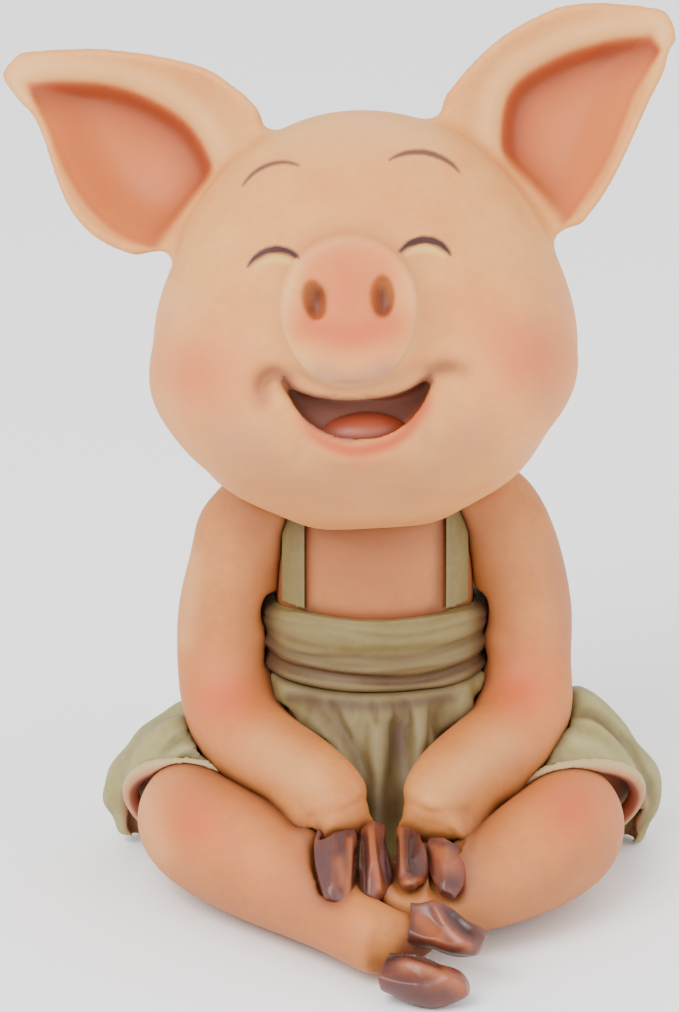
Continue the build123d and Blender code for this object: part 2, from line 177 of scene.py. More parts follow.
def blurred(piece, values, rounds):
    """One value for each point, averaged with its neighbours'."""
    return averaged(values, edges_of(piece), rounds)[:, 0]


def push_points(piece, amount, way):
    """Moves each point by its amount along a way, which is one for all or one for each."""
    move_points(piece, points_of(piece) + amount[:, None] * np.array(way))


def melt(piece, weight, rounds):
    """Draws each point towards its smoothed place, as far as its weight says."""
    points = points_of(piece)
    smooth = averaged(points, edges_of(piece), rounds)
    move_points(piece, points + (smooth - points) * np.clip(weight, 0, 1)[:, None])


def soften(piece, rounds, near=None, reach=5.0):
    """Smooths the skin, all over or near some places only."""
    points = points_of(piece)
    weight = np.zeros(len(points)) if near else np.ones(len(points))
    for place in near or ():
        weight = np.maximum(weight, falloff(np.linalg.norm(points - np.array(place), axis=1), reach))
    melt(piece, weight * 1.6, rounds)


def dab(piece, place, reach, push):
    """A sculpting dab: pushes the skin one way round a place."""
    away = np.linalg.norm(points_of(piece) - np.array(place), axis=1)
    push_points(piece, falloff(away, reach), push)


def smooth_line(places, steps=12):
    """Points along a smooth line through the given places."""
    places = [np.array(place, float) for place in places]
    padded = [2 * places[0] - places[1]] + places + [2 * places[-1] - places[-2]]
    line = []
    for a, b, c, d in zip(padded, padded[1:], padded[2:], padded[3:]):
        for step in range(steps):
            t = step / steps
            bend = (2 * a - 5 * b + 4 * c - d) * t * t + (3 * b - a - 3 * c + d) * t ** 3
            line.append(0.5 * (2 * b + (c - a) * t + bend))
    line.append(places[-1])
    return np.array(line)


def nearest_on_line(points, line):
    """Distance of each point to the line, and how far along it the nearest place is."""
    best = np.full(len(points), 1e9)
    along = np.zeros(len(points))
    for step in range(len(line) - 1):
        start, run = line[step], line[step + 1] - line[step]
        share = np.clip((points - start) @ run / max(run @ run, 1e-12), 0, 1)
        distance = np.linalg.norm(points - start - share[:, None] * run, axis=1)
        closer = distance < best
        best = np.where(closer, distance, best)
        along = np.where(closer, (step + share) / (len(line) - 1), along)
    return best, along


def seen_from_front(piece):
    """The pixel of each point in the photograph's view, and how far the skin faces it."""
    away = points_of(piece) - CAMERA_PLACE
    depth = away @ AHEAD
    across = FRAME_WIDTH / 2 + FOCAL * away[:, 0] / depth
    down = FRAME_HEIGHT / 2 - FOCAL * (away @ UPWARD) / depth
    return np.stack([across, down], axis=1), -(normals_of(piece) @ AHEAD)


def laid_on(piece, line, width, taper=0.0, least_facing=FRONT_ONLY):
    """How strongly a stroke along these pixels, or a dab on one, lands on each point."""
    seen, facing = seen_from_front(piece)
    if len(line) == 1:
        distance, along = np.linalg.norm(seen - np.array(line[0]), axis=1), np.full(len(seen), 0.5)
    else:
        distance, along = nearest_on_line(seen, smooth_line(line, 6))
    weight = np.exp(-((distance / width) ** 2)) * np.clip((facing - least_facing) * 5, 0, 1)
    if taper:
        weight = weight * np.clip(np.sin(np.pi * np.clip(along, 0.01, 0.99)), 0, 1) ** taper
    return weight


def carve(piece, line, width, height, taper=0.6):
    """A ridge, or a groove where the height is under 0, along pixels of the photograph."""
    push_points(piece, height * laid_on(piece, line, width, taper), normals_of(piece))


def nudge(piece, line, width, push, least_facing=ALL_ROUND):
    """Moves the skin round one pixel of the photograph, or along several."""
    push_points(piece, laid_on(piece, line, width, 0.0, least_facing), push)


def each(tool, piece, rows):
    """Uses one tool on the piece for every row of a table."""
    for row in rows:
        tool(piece, *row)


def smooth_over(piece, line, width, rounds):
    """Smooths the skin along pixels of the photograph."""
    melt(piece, 1.3 * laid_on(piece, line, width, 0.0, ALL_ROUND), rounds)


def inside_of(seen, outline):
    """How many pixels inside a closed outline each place lies, under 0 outside it."""
    edge = np.array(list(outline) + [outline[0]], float)
    within = np.zeros(len(seen), bool)
    for (ax, ay), (bx, by) in zip(edge, edge[1:]):
        crosses = (ay > seen[:, 1]) != (by > seen[:, 1])
        reach = ax + (seen[:, 1] - ay) / (by - ay if by != ay else 1e-9) * (bx - ax)
        within ^= crosses & (seen[:, 0] < reach)
    distance, _ = nearest_on_line(seen, edge)
    return np.where(within, distance, -distance)


def eased(values, low, high):
    """0 at the low value, easing to 1 at the high one."""
    share = np.clip((values - low) / (high - low), 0, 1)
    return share * share * (3 - 2 * share)


def stretch_to(piece, outline, forward=0.0):
    """Stretches a piece across the view until its outline is the drawn one, and pushes it forwards."""
    drawn = smooth_line(list(outline) + [outline[0]], 6)
    middle = drawn.mean(axis=0)
    seen, _ = seen_from_front(piece)
    turns = np.linspace(-math.pi, math.pi, TURN_STEPS + 1)

    def reach_of(places):
        away = places - middle
        slot = np.round((np.arctan2(away[:, 1], away[:, 0]) + math.pi) / math.tau * TURN_STEPS).astype(int)
        far = np.zeros(TURN_STEPS + 1)
        np.maximum.at(far, slot, np.hypot(*away.T))
        far[0] = far[-1] = max(far[0], far[-1])
        known = far > 0
        return np.interp(turns, turns[known], far[known])

    growth = reach_of(drawn) / reach_of(seen)
    around = np.concatenate([growth[-4:-1], growth, growth[1:4]])
    growth = np.convolve(around, np.array([1, 2, 3, 3, 3, 2, 1]) / 15, "valid")
    away = seen - middle
    share = np.interp(np.arctan2(away[:, 1], away[:, 0]), turns, growth) - 1
    points = points_of(piece)
    size = (points - CAMERA_PLACE) @ AHEAD / FOCAL
    points[:, 0] += away[:, 0] * share * size
    points -= (away[:, 1] * share * size)[:, None] * UPWARD + forward * AHEAD
    move_points(piece, points)


def sink_under(piece, outline, depth):
    """Presses the skin back where something with the drawn outline lies on it."""
    seen, facing = seen_from_front(piece)
    pressed = eased(inside_of(seen, smooth_line(list(outline) + [outline[0]], 6)[:-1]), -8, 4)
    push_points(piece, pressed * (facing > -0.2) * depth, AHEAD)


# Paint masks, kept on the skin as attributes
def mask_data(piece, name):
    if name not in piece.data.attributes:
        piece.data.attributes.new(name, "FLOAT", "POINT")
    return piece.data.attributes[name].data


def mask_of(piece, name):
    values = np.empty(len(piece.data.vertices))
    mask_data(piece, name).foreach_get("value", values)
    return values


def keep_mask(piece, name, values):
    mask_data(piece, name).foreach_set("value", np.clip(values, 0, 1))


def add_to_mask(piece, name, values):
    """Keeps the stronger of the mask and these values at each point."""
    keep_mask(piece, name, np.maximum(mask_of(piece, name), values))


def brush(piece, name, line, width, strength, taper=0.0):
    """A painted stroke along pixels of the photograph, or a dab on one."""
    values = mask_of(piece, name)
    stroke_on = strength * laid_on(piece, line, width, taper)
    keep_mask(piece, name, values + stroke_on * (1 - values))


def wipe(piece, name, line, width, amount):
    """Takes paint off again along a line of pixels of the photograph."""
    weight = laid_on(piece, line, width, 0.0, ALL_ROUND)
    keep_mask(piece, name, mask_of(piece, name) * (1 - amount * weight))


def wash_and_shade_into_hollows(piece, depth=0.25, rounds=12):
    """The dark wash that a painter wipes off again, which stays in the hollows, here partly painted shade;
    the ridges get lighter paint, partly painted highlight.
    """
    points = points_of(piece)
    inward = averaged(points, edges_of(piece), rounds) - points
    hollow = np.einsum("ij,ij->i", inward, normals_of(piece))
    hollow = blurred(piece, np.clip(hollow / depth, -1, 1), 2)
    add_to_mask(piece, "wash", np.clip(hollow, 0, 1))
    keep_mask(piece, "worn", np.clip(-hollow, 0, 1))


SEARCH_TREES = {}


def search_tree(piece):
    """The piece's skin, ready to be searched for nearest places."""
    if piece.name not in SEARCH_TREES:
        mesh = piece.data
        SEARCH_TREES[piece.name] = BVHTree.FromPolygons(
            [v.co for v in mesh.vertices], [p.vertices for p in mesh.polygons]
        )
    return SEARCH_TREES[piece.name]


def wash_and_shade_along_seams(piece, others, reach, strength=0.75):
    """The dark wash where the piece meets its neighbours, partly painted shade between the parts."""
    points = points_of(piece)
    closest = np.full(len(points), 1e9)
    for other in others:
        tree = search_tree(other)
        corners = points_of(other)
        low, high = corners.min(axis=0) - 2 * reach, corners.max(axis=0) + 2 * reach
        for index in np.nonzero(np.all((points > low) & (points < high), axis=1))[0]:
            found = tree.find_nearest(Vector(points[index] * MM), 2 * reach * MM)
            if found[3] is not None:
                closest[index] = min(closest[index], found[3] / MM)
    near = strength * np.exp(-((closest / reach) ** 2))
    add_to_mask(piece, "wash", blurred(piece, near, 2))


# Shader helpers
NOISE_ROUGHNESS = 0.55
SOFT_EDGE = 0.00022  # of a painted line, in metres


def srgb(red, green, blue):
    """A colour read on the 0 to 255 scale, as the shader wants it."""
    def linear(value):
        value = value / 255
        return value / 12.92 if value <= 0.04045 else ((value + 0.055) / 1.055) ** 2.4
    return (linear(red), linear(green), linear(blue), 1.0)


def new_group(name, inputs, outputs):
    group = bpy.data.node_groups.new(name, "ShaderNodeTree")
    for label, kind, value in inputs:
        socket = group.interface.new_socket(label, in_out="INPUT", socket_type=kind)
        if value is not None:
            socket.default_value = value
    for label, kind in outputs:
        group.interface.new_socket(label, in_out="OUTPUT", socket_type=kind)
    return group, group.nodes.new("NodeGroupInput"), group.nodes.new("NodeGroupOutput")


def feed(tree, socket, value):
    """Sets a socket to a value, or links it to the output of another node."""
    if isinstance(value, bpy.types.NodeSocket):
        tree.links.new(value, socket)
    elif value is not None:
        socket.default_value = value


def add_node(tree, kind, inputs, **settings):
    """Adds a shader node, sets it and feeds its inputs, which go by name or by number."""
    node = tree.nodes.new(f"ShaderNode{kind}")
    for key, value in settings.items():
        setattr(node, key, value)
    for key, value in inputs.items():
        feed(tree, node.inputs[key], value)
    return node


def maths(tree, operation, first, second=None, third=None, clamp=False):
    inputs = {0: first, 1: second, 2: third}
    return add_node(tree, "Math", inputs, operation=operation, use_clamp=clamp).outputs[0]


def blend_colour(tree, share, first, second):
    return add_node(tree, "Mix", {0: share, 6: first, 7: second}, data_type="RGBA").outputs[2]


def noise(tree, vector, scale, detail):
    inputs = {"Vector": vector, "Scale": scale, "Detail": detail, "Roughness": NOISE_ROUGHNESS}
    return add_node(tree, "TexNoise", inputs).outputs["Fac"]


def ramp(tree, value, low, high):
    inputs = {"Value": value, "From Min": low, "From Max": high}
    return add_node(tree, "MapRange", inputs, interpolation_type="SMOOTHSTEP").outputs["Result"]


def mask_node(tree, name):
    return add_node(tree, "Attribute", {}, attribute_name=name).outputs["Fac"]


def brushwork_group():
    """Brush mottling and fine grain of thin paint on resin: a light-and-dark mask and a height."""
    group, given, made = new_group(
        "brushwork",
        [("Vector", "NodeSocketVector", None), ("Amount", "NodeSocketFloat", 0.5)],
        [("Mottle", "NodeSocketFloat"), ("Height", "NodeSocketFloat")],
    )
    broad = noise(group, given.outputs["Vector"], 160.0, 4.0)
    fine = noise(group, given.outputs["Vector"], 900.0, 3.0)
    both = maths(group, "ADD", maths(group, "MULTIPLY", broad, 0.65), maths(group, "MULTIPLY", fine, 0.35))
    centred = maths(group, "SUBTRACT", both, 0.5)
    mottle = maths(group, "MULTIPLY_ADD", centred, given.outputs["Amount"], 0.5)
    group.links.new(mottle, made.inputs["Mottle"])
    group.links.new(fine, made.inputs["Height"])
    return group


def brush_line_group():
    """A tapering painted arc in the across-and-up plane of the given vector."""
    group, given, made = new_group(
        "painted line",
        [
            ("Vector", "NodeSocketVector", None),
            ("Middle Across", "NodeSocketFloat", 0.0),
            ("Middle Up", "NodeSocketFloat", 0.0),
            ("Radius", "NodeSocketFloat", 0.01),
            ("Heading", "NodeSocketFloat", 0.0),
            ("Half Sweep", "NodeSocketFloat", 0.5),
            ("Half Width", "NodeSocketFloat", 0.0004),
        ],
        [("Mask", "NodeSocketFloat")],
    )
    split = add_node(group, "SeparateXYZ", {0: given.outputs["Vector"]})
    wobble = noise(group, given.outputs["Vector"], 700.0, 2.0)
    across = maths(group, "SUBTRACT", split.outputs["X"], given.outputs["Middle Across"])
    up = maths(group, "SUBTRACT", split.outputs["Z"], given.outputs["Middle Up"])
    squares = maths(group, "POWER", across, 2.0), maths(group, "POWER", up, 2.0)
    away = maths(group, "SQRT", maths(group, "ADD", *squares))
    turn = maths(group, "SUBTRACT", maths(group, "ARCTAN2", across, up), given.outputs["Heading"])
    along = maths(group, "DIVIDE", maths(group, "ABSOLUTE", turn), given.outputs["Half Sweep"])
    body = maths(group, "SUBTRACT", 1.0, maths(group, "POWER", along, 2.0), clamp=True)
    width = maths(group, "MULTIPLY", maths(group, "POWER", body, 0.55), given.outputs["Half Width"])
    width = maths(group, "MULTIPLY", width, maths(group, "MULTIPLY_ADD", wobble, 0.7, 0.65))
    off = maths(group, "ABSOLUTE", maths(group, "SUBTRACT", away, given.outputs["Radius"]))
    inside = maths(group, "DIVIDE", maths(group, "SUBTRACT", width, off), SOFT_EDGE)
    inside = maths(group, "MULTIPLY_ADD", inside, 0.5, 0.5, clamp=True)
    front = maths(group, "LESS_THAN", split.outputs["Y"], 0.0)
    live = maths(group, "LESS_THAN", along, 1.0)
    mask = maths(group, "MULTIPLY", inside, maths(group, "MULTIPLY", front, live))
    group.links.new(mask, made.inputs["Mask"])
    return group


BRUSHWORK = brushwork_group()
PAINTED_LINE = brush_line_group()


def arc_through(first, middle, last):
    """The circle through three places in the plane, as the painted line wants it."""
    (ax, ay), (bx, by), (cx, cy) = first, middle, last
    d = 2 * (ax * (by - cy) + bx * (cy - ay) + cx * (ay - by))
    ux = ((ax**2 + ay**2) * (by - cy) + (bx**2 + by**2) * (cy - ay) + (cx**2 + cy**2) * (ay - by)) / d
    uy = ((ax**2 + ay**2) * (cx - bx) + (bx**2 + by**2) * (ax - cx) + (cx**2 + cy**2) * (bx - ax)) / d
    radius = math.hypot(ax - ux, ay - uy)
    start = math.atan2(ax - ux, ay - uy)
    end = math.atan2(cx - ux, cy - uy)
    return ux, uy, radius, (start + end) / 2, abs(end - start) / 2


class Paint:
    """A material with its Principled shader, object coordinates and brushwork at hand."""

    def __init__(self, name, mottling):
        self.material = bpy.data.materials.new(name)
        self.material.use_nodes = True
        self.tree = self.material.node_tree
        self.shader = self.tree.nodes["Principled BSDF"]
        self.place = add_node(self.tree, "TexCoord", {}).outputs["Object"]
        inputs = {"Vector": self.place, "Amount": mottling}
        brushwork = add_node(self.tree, "Group", inputs, node_tree=BRUSHWORK)
        self.mottle, self.grain = brushwork.outputs["Mottle"], brushwork.outputs["Height"]

    def ground(self, dark, light):
        """The ground colour, from its darker to its lighter tone."""
        return blend_colour(self.tree, ramp(self.tree, self.mottle, 0.3, 0.7), dark, light)

    def layered(self, layers, colour):
        """Colours laid one over another through their masks."""
        for mask, over, strength in layers:
            share = maths(self.tree, "MULTIPLY", mask_node(self.tree, mask), strength, clamp=True)
            colour = blend_colour(self.tree, share, colour, over)
        return colour

    def line(self, vector, arc, half_width):
        across, up, radius, heading, sweep = arc
        inputs = (vector, across * MM, up * MM, radius * MM, heading, sweep, half_width * MM)
        return add_node(self.tree, "Group", dict(enumerate(inputs)), node_tree=PAINTED_LINE).outputs["Mask"]

    def bump(self, strength, distance):
        inputs = {"Strength": strength, "Distance": distance * MM, "Height": self.grain}
        feed(self.tree, self.shader.inputs["Normal"], add_node(self.tree, "Bump", inputs).outputs["Normal"])

    def sheen(self, swing, least):
        """Roughness that follows the brushwork."""
        return maths(self.tree, "MULTIPLY_ADD", self.mottle, swing, least)

    def finish(self, colour, roughness, specular=0.5):
        feed(self.tree, self.shader.inputs["Base Color"], colour)
        feed(self.tree, self.shader.inputs["Roughness"], roughness)
        feed(self.tree, self.shader.inputs["Specular IOR Level"], specular)
        return self.material


# Paints, mixed on the 0 to 255 scale
SKIN_LIGHT = srgb(214, 149, 82)
SKIN_SHADE = srgb(207, 135, 68)
# Painted highlight: the pale tone on the lit left sides, the brow, the ear and snout rims, the forearms and
# a knee
SKIN_HIGHLIGHT = srgb(215, 165, 105)
SKIN_WARM = srgb(198, 104, 50)
# The body's skin is mixed darker and tanner than the face's: partly its own tan, partly painted shade under
# the head
SHADED_BODY_LIGHT = srgb(187, 118, 58)
SHADED_BODY_DARK = srgb(171, 103, 48)
# Painted shade, laid as the brown mask under the chin, in the mouth's dimples, on the inner arms and along
# the creases between arms and legs
PAINTED_SHADE_BROWN = srgb(139, 79, 46)
# Painted shade, laid as the mauve mask under the chin, under the snout and on the sides turned from the
# light
PAINTED_SHADE_MAUVE = srgb(164, 110, 82)
BLUSH = srgb(191, 71, 35)
# Painted shade inside the ears, darkest under the rolled upper rim
EAR_HOLLOW_SHADE = srgb(139, 55, 28)
SNOUT_ROSE = srgb(187, 75, 32)
NOSTRIL = srgb(95, 47, 34)
MOUTH_DARK = srgb(122, 70, 52)
LIP = srgb(182, 68, 31)
# Painted highlight along the lids' small ridges, under the eye lines
LID_HIGHLIGHT = srgb(210, 164, 88)
# A dark wash, partly painted shade in the hollows and between the parts
SKIN_WASH_AND_SHADE = srgb(95, 48, 31)
BROW = srgb(107, 60, 46)
EYE_LINE = srgb(55, 24, 27)
DRESS_LIGHT = srgb(139, 129, 76)
DRESS_SHADE = srgb(120, 108, 62)
# Lighter sage: the cloth of the puffs and hem rolls, and paint on the raised folds that is partly painted
# highlight
DRESS_PALE = srgb(165, 157, 110)
# Painted shade over the dress's front: the bodice, the straps and the middle of the skirt
DRESS_FRONT_SHADE = srgb(93, 69, 39)
# A dark wash in the dress's hollows and seams, partly painted shade
DRESS_WASH_AND_SHADE = srgb(67, 39, 24)
HEM_LIGHT = srgb(189, 127, 88)
HEM_SHADE = srgb(170, 105, 67)
HEM_INSIDE = srgb(113, 46, 22)
HOOF_RED = srgb(98, 44, 27)
HOOF_MAUVE = srgb(70, 33, 30)
# Copper paint, partly painted highlight on the hooves' ridges and edges
HOOF_COPPER_HIGHLIGHT = srgb(146, 76, 38)
# Nearly black in the hooves' cuts: painted shade, partly a wash
HOOF_WASH_AND_SHADE = srgb(41, 19, 17)
TONGUE_CORAL = srgb(150, 66, 45)
TONGUE_PALE = srgb(160, 76, 47)
MATT_SPECULAR = 0.35


def skin_paint(name, light, shade, face_lines=()):
    """Peach skin with its warm tones, painted highlight, painted shade in brown and mauve, a dark wash that
    is partly painted shade, and the face's painted lines.
    """
    paint = Paint(name, 1.0)
    layers = [
        # The pale layer is painted highlight
        ("pale", SKIN_HIGHLIGHT, 0.9),
        ("warm", SKIN_WARM, 0.85),
        # The brown and mauve layers are painted shade
        ("brown", PAINTED_SHADE_BROWN, 0.85),
        ("mauve", PAINTED_SHADE_MAUVE, 0.85),
        # The deep layer is painted shade in the ears
        ("deep", EAR_HOLLOW_SHADE, 0.9),
        ("rose", SNOUT_ROSE, 1.0),
        ("blush", BLUSH, 0.8),
    ]
    colour = paint.layered(layers, paint.ground(shade, light))
    if face_lines:
        inputs = {"Vector": paint.place, "Location": HEAD.translation * MM, "Rotation": HEAD.to_euler("XYZ")}
        on_head = add_node(paint.tree, "Mapping", inputs, vector_type="TEXTURE").outputs["Vector"]
        for arc, half_width, ink in face_lines:
            drawn = paint.line(on_head, arc, half_width)
            colour = blend_colour(paint.tree, drawn, colour, ink)
    layers = [
        ("nostril", NOSTRIL, 0.95),
        ("lip", LIP, 0.9),
        ("mouth", MOUTH_DARK, 1.0),
        # The wash layer: dark in hollows and seams, partly painted shade
        ("wash", SKIN_WASH_AND_SHADE, 0.85),
    ]
    colour = paint.layered(layers, colour)
    paint.bump(0.25, 0.06)
    return paint.finish(colour, paint.sheen(0.15, 0.5), MATT_SPECULAR)


def dress_paint(name, light, shade):
    """Sage green cloth with a brown wash that is partly painted shade, painted shade over its front, and
    lighter paint on its folds that is partly painted highlight; the hems use it too.
    """
    paint = Paint(name, 1.3)
    layers = [
        # Lighter on the raised folds, partly painted highlight
        ("worn", DRESS_PALE, 0.6),
        # Painted shade over the front
        ("browned", DRESS_FRONT_SHADE, 0.8),
        ("cloth", DRESS_PALE, 0.9),
        # The wash layer is partly painted shade
        ("wash", DRESS_WASH_AND_SHADE, 0.9),
        ("inside", HEM_INSIDE, 0.95),
    ]
    colour = paint.layered(layers, paint.ground(shade, light))
    paint.bump(0.3, 0.08)
    return paint.finish(colour, paint.sheen(0.15, 0.5), MATT_SPECULAR)


def hoof_paint(name):
    """Dark red hoof, with copper on its ridges that is partly painted highlight, and painted shade, nearly
    black, in its cuts.
    """
    paint = Paint(name, 1.8)
    layers = [
        # Copper, partly painted highlight; the nearly black wash is partly painted shade
        ("copper", HOOF_COPPER_HIGHLIGHT, 0.9),
        ("worn", HOOF_COPPER_HIGHLIGHT, 0.6),
        ("mauve", HOOF_MAUVE, 0.9),
        ("wash", HOOF_WASH_AND_SHADE, 0.95),
    ]
    colour = paint.layered(layers, paint.ground(HOOF_MAUVE, HOOF_RED))
    paint.bump(0.5, 0.1)
    return paint.finish(colour, paint.sheen(0.2, 0.3))


def tongue_paint(name):
    paint = Paint(name, 1.0)
    # The tongue is darker along its lower edge
    colour = paint.layered([("wash", MOUTH_DARK, 0.9)], paint.ground(TONGUE_CORAL, TONGUE_PALE))
    paint.bump(0.2, 0.05)
    return paint.finish(colour, 0.45)


# The body's skin, darker than the face's, is partly painted shade
SKIN = skin_paint("painted skin", SHADED_BODY_LIGHT, SHADED_BODY_DARK)
DRESS = dress_paint("painted sage dress", DRESS_LIGHT, DRESS_SHADE)
HEM = dress_paint("painted hem edge", HEM_LIGHT, HEM_SHADE)
HOOF = hoof_paint("painted hoof")
TONGUE = tongue_paint("painted tongue")


def dressed(piece, material):
    piece.data.materials.clear()
    piece.data.materials.append(material)
    return piece


# Head with its snout, ears and eyelids. Outlines and strokes are pixels of the photograph.
HEAD_NODES = ["head", "snout", "left_eyelid", "right_eyelid", "left_ear", "right_ear"]
LEFT_EAR_UPPER = [
    (28, 84), (60, 81), (110, 85), (150, 99), (186, 122), (207, 152), (214, 178), (208, 205), (196, 228),
    (182, 250),
]
LEFT_EAR_LOWER = [(31, 96), (48, 130), (62, 165), (82, 200), (102, 222), (122, 237), (150, 248), (176, 253)]
RIGHT_EAR_UPPER = [
    (650, 36), (625, 38), (598, 43), (560, 56), (524, 76), (507, 97), (501, 125), (502, 155), (515, 187),
    (544, 236),
]
RIGHT_EAR_LOWER = [
    (662, 50), (648, 72), (634, 96), (623, 125), (612, 152), (598, 178), (582, 202), (566, 224), (549, 238),
]
MOUTH = [
    (283, 380), (305, 392), (350, 400), (400, 393), (431, 373), (427, 394), (412, 414), (390, 431),
    (350, 441), (315, 429), (296, 408),
]
LEFT_EYE = [(247, 268), (271, 250), (299, 259)]
RIGHT_EYE = [(399, 253), (426, 240), (451, 256)]
LEFT_LID = [(254, 269), (277, 259), (297, 266)]
RIGHT_LID = [(404, 256), (426, 249), (446, 258)]
LEFT_BROW = [(242, 187), (268, 165), (300, 166)]
RIGHT_BROW = [(388, 161), (420, 152), (460, 173)]

# Tables of strokes. Nudges: pixels, width in pixels and push in millimetres
HEAD_OUTLINE = [
    ([(172, 440)], 45, (0.6, 0, 0.3)),
    ([(550, 428)], 45, (-0.6, 0, 0.2)),
    ([(172, 270), (166, 258)], 16, (0.4, 0, 0.8)),
    ([(36, 130), (74, 206), (118, 246), (160, 256)], 30, (0.4, 0, 0.5)),
    ([(12, 68)], 16, (-0.9, 0, -0.2)),
    ([(260, 106), (240, 84)], 26, (-0.35, 0, -0.5)),
    ([(676, 70), (642, 150), (604, 214)], 32, (-0.9, 0, 0)),
    ([(570, 8), (640, 4), (668, 20)], 34, (0, 0, 0.75)),
    ([(676, 48)], 18, (-0.9, 0, 0.2)),
    ([(552, 242)], 16, (-0.3, 0, 0.4)),
]
NOSTRIL_NUDGES = [
    ([(318, 298)], 22, (0, 0, -0.7)),
    ([(382, 298)], 22, (0.4, 0, -0.7)),
]
MOUTH_NUDGES = [
    ([(289, 392)], 13, (-0.6, 0, 1.3)),
    ([(430, 380)], 12, (0.3, 0, 1.0)),
    ([(350, 408)], 28, (0, 0, 1.2)),
]

# Cuts: pixels, width in pixels and height in millimetres, a groove under 0
MOUTH_CUTS = [
    ([(300, 424), (322, 450), (355, 459), (398, 450), (426, 416)], 9, 0.45),
    ([(286, 378), (272, 373), (261, 382), (262, 398)], 7, -0.9),
    ([(432, 371), (446, 367), (458, 371)], 8, -0.7),
    ([(278, 398), (284, 412)], 8, 0.3),
    ([(300, 470), (360, 486), (420, 470)], 16, -0.25),
]

# Brush strokes: mask, pixels, width in pixels, strength and how far the ends taper
MOUTH_STROKES = [
    ("lip", [(297, 412), (316, 436), (352, 451), (394, 441), (419, 415), (431, 390)], 8, 1.0, 0.4),
    ("lip", [(404, 428), (426, 402)], 7, 0.8, 0.4),
    # The brown strokes are painted shade in the dimples at the mouth's corners
    ("brown", [(288, 378), (272, 372), (260, 382), (262, 398)], 11, 0.8),
    ("brown", [(430, 370), (446, 366), (462, 369)], 10, 0.75),
    # The wash strokes are painted shade in the dimples and along the mouth's upper edge under the snout
    ("wash", [(286, 378), (274, 374), (265, 382)], 6, 0.5),
    ("wash", [(432, 370), (444, 367)], 6, 0.45),
    ("wash", [(292, 388), (320, 399), (352, 403), (400, 394), (428, 380)], 6, 0.55),
    ("mouth", [(285, 379), (292, 392)], 4, 0.9),
    # The pale dab is a painted highlight on the small ridge beside the left corner
    ("pale", [(276, 402)], 9, 0.5),
]
TONGUE_SIDES = [(322, 424), (350, 440), (392, 430)]
CHEEKS = [(196, 372), (527, 358)]
FACE_STROKES = [
    ("warm", [(470, 300), (500, 330)], 36, 0.45),
    # The pale strokes are painted highlight on the lit left cheek and the brow
    ("pale", [(180, 300), (172, 400)], 16, 0.5),
    ("pale", [(300, 140), (360, 125), (420, 140)], 26, 0.35),
    ("warm", [(330, 190), (380, 195), (440, 215)], 36, 0.35),
    # The mauve strokes are painted shade under the chin, down the right side and under the snout
    ("mauve", [(230, 440), (300, 480), (400, 490), (470, 440)], 34, 0.6),
    ("mauve", [(540, 330), (550, 400)], 20, 0.45),
    ("mauve", [(320, 372), (352, 380), (385, 370)], 13, 0.9),
    ("rose", [(350, 292)], 38, 0.75),
    ("rose", [(320, 262), (350, 256), (382, 262)], 26, 0.45),
    ("rose", [(312, 325), (350, 336), (388, 325)], 22, 0.8),
]
SNOUT_SHIFT = (-0.4, 0, 0.55)
SNOUT_MIDDLE = (350, 316)
SNOUT_REACH = (66, 68, 76)  # to its sides, below and above
NOSTRIL_STROKES = [
    ("nostril", [(315, 308), (317, 295)], 8, 0.95),
    ("nostril", [(384, 308), (382, 295)], 8, 0.95),
    # The wash dabs are painted shade in the nostrils' tops
    ("wash", [(318, 292)], 7, 0.5),
    ("wash", [(381, 292)], 7, 0.5),
]

# The skull is an egg of these half sizes. These and the next are in the head's own frame.
SKULL = (26.4, 25.0, 26.0)
SKULL_ROUNDS = 160
MOUTH_LEVEL = -12.6
MOUTH_HALF = (10.5, 5.4)
MOUTH_BEHIND = -8  # how far forwards the mouth starts
SNOUT_ROOT, SNOUT_FACE = 21.0, 27.0
DISC_LEVEL = -0.8
DISC_EDGE = (11.0, 16.0)
LOWER_DISC = (0.6, 9.0)
DISC_STRETCH = 0.27
DISC_DOWN = (0, 0.15, -1)

# In the object's frame
PLUG_FOOT = 50.0
RIGHT_EAR_TIP = (37.8, 2.0, 106.5)

# Ears: hollows' depths in millimetres, the rest in pixels
LEFT_EAR_DEPTH, RIGHT_EAR_DEPTH = 2.4, 2.2
RIM_WIDTH, RIM_SOFTNESS = 13, 11
RIM_SWELL = 0.5  # in millimetres
HOLLOW_REACH = 50
SHADOW_REACH = 34


def in_head_frame(places):
    """Places in the object's frame, in millimetres, as places in the head's own frame."""
    back = np.array(HEAD.inverted())
    return places @ back[:3, :3].T + back[:3, 3]


def off_skull(across, forward, up):
    """1 on the skull's egg, more outside it."""
    return np.sqrt((across / SKULL[0]) ** 2 + (forward / SKULL[1]) ** 2 + (up / SKULL[2]) ** 2)


def neck_plug():
    """The part of the torso inside the head, which fills the socket under the chin."""
    plug = bpy.data.objects.new("neck_plug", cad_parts["torso"].data.copy())
    bpy.context.collection.objects.link(plug)
    pick(plug)
    bpy.ops.object.mode_set(mode="EDIT")
    merge_doubles()
    bpy.ops.mesh.bisect(plane_co=(0, 0, PLUG_FOOT * MM), plane_no=(0, 0, 1), use_fill=True, clear_inner=True)
    bpy.ops.object.mode_set(mode="OBJECT")
    return plug


def smooth_skull(head):
    """Melts cheeks, brow and jaw into one another, away from the snout, mouth and ears."""
    across, forward, up = in_head_frame(points_of(head)).T
    off_mouth = np.sqrt((across / MOUTH_HALF[0]) ** 2 + ((up - MOUTH_LEVEL) / MOUTH_HALF[1]) ** 2)
    off_mouth = np.where(forward < MOUTH_BEHIND, eased(off_mouth, 1.0, 1.5), 1.0)
    melt(head, (1 - eased(off_skull(across, forward, up), 1.06, 1.18)) * off_mouth, SKULL_ROUNDS)


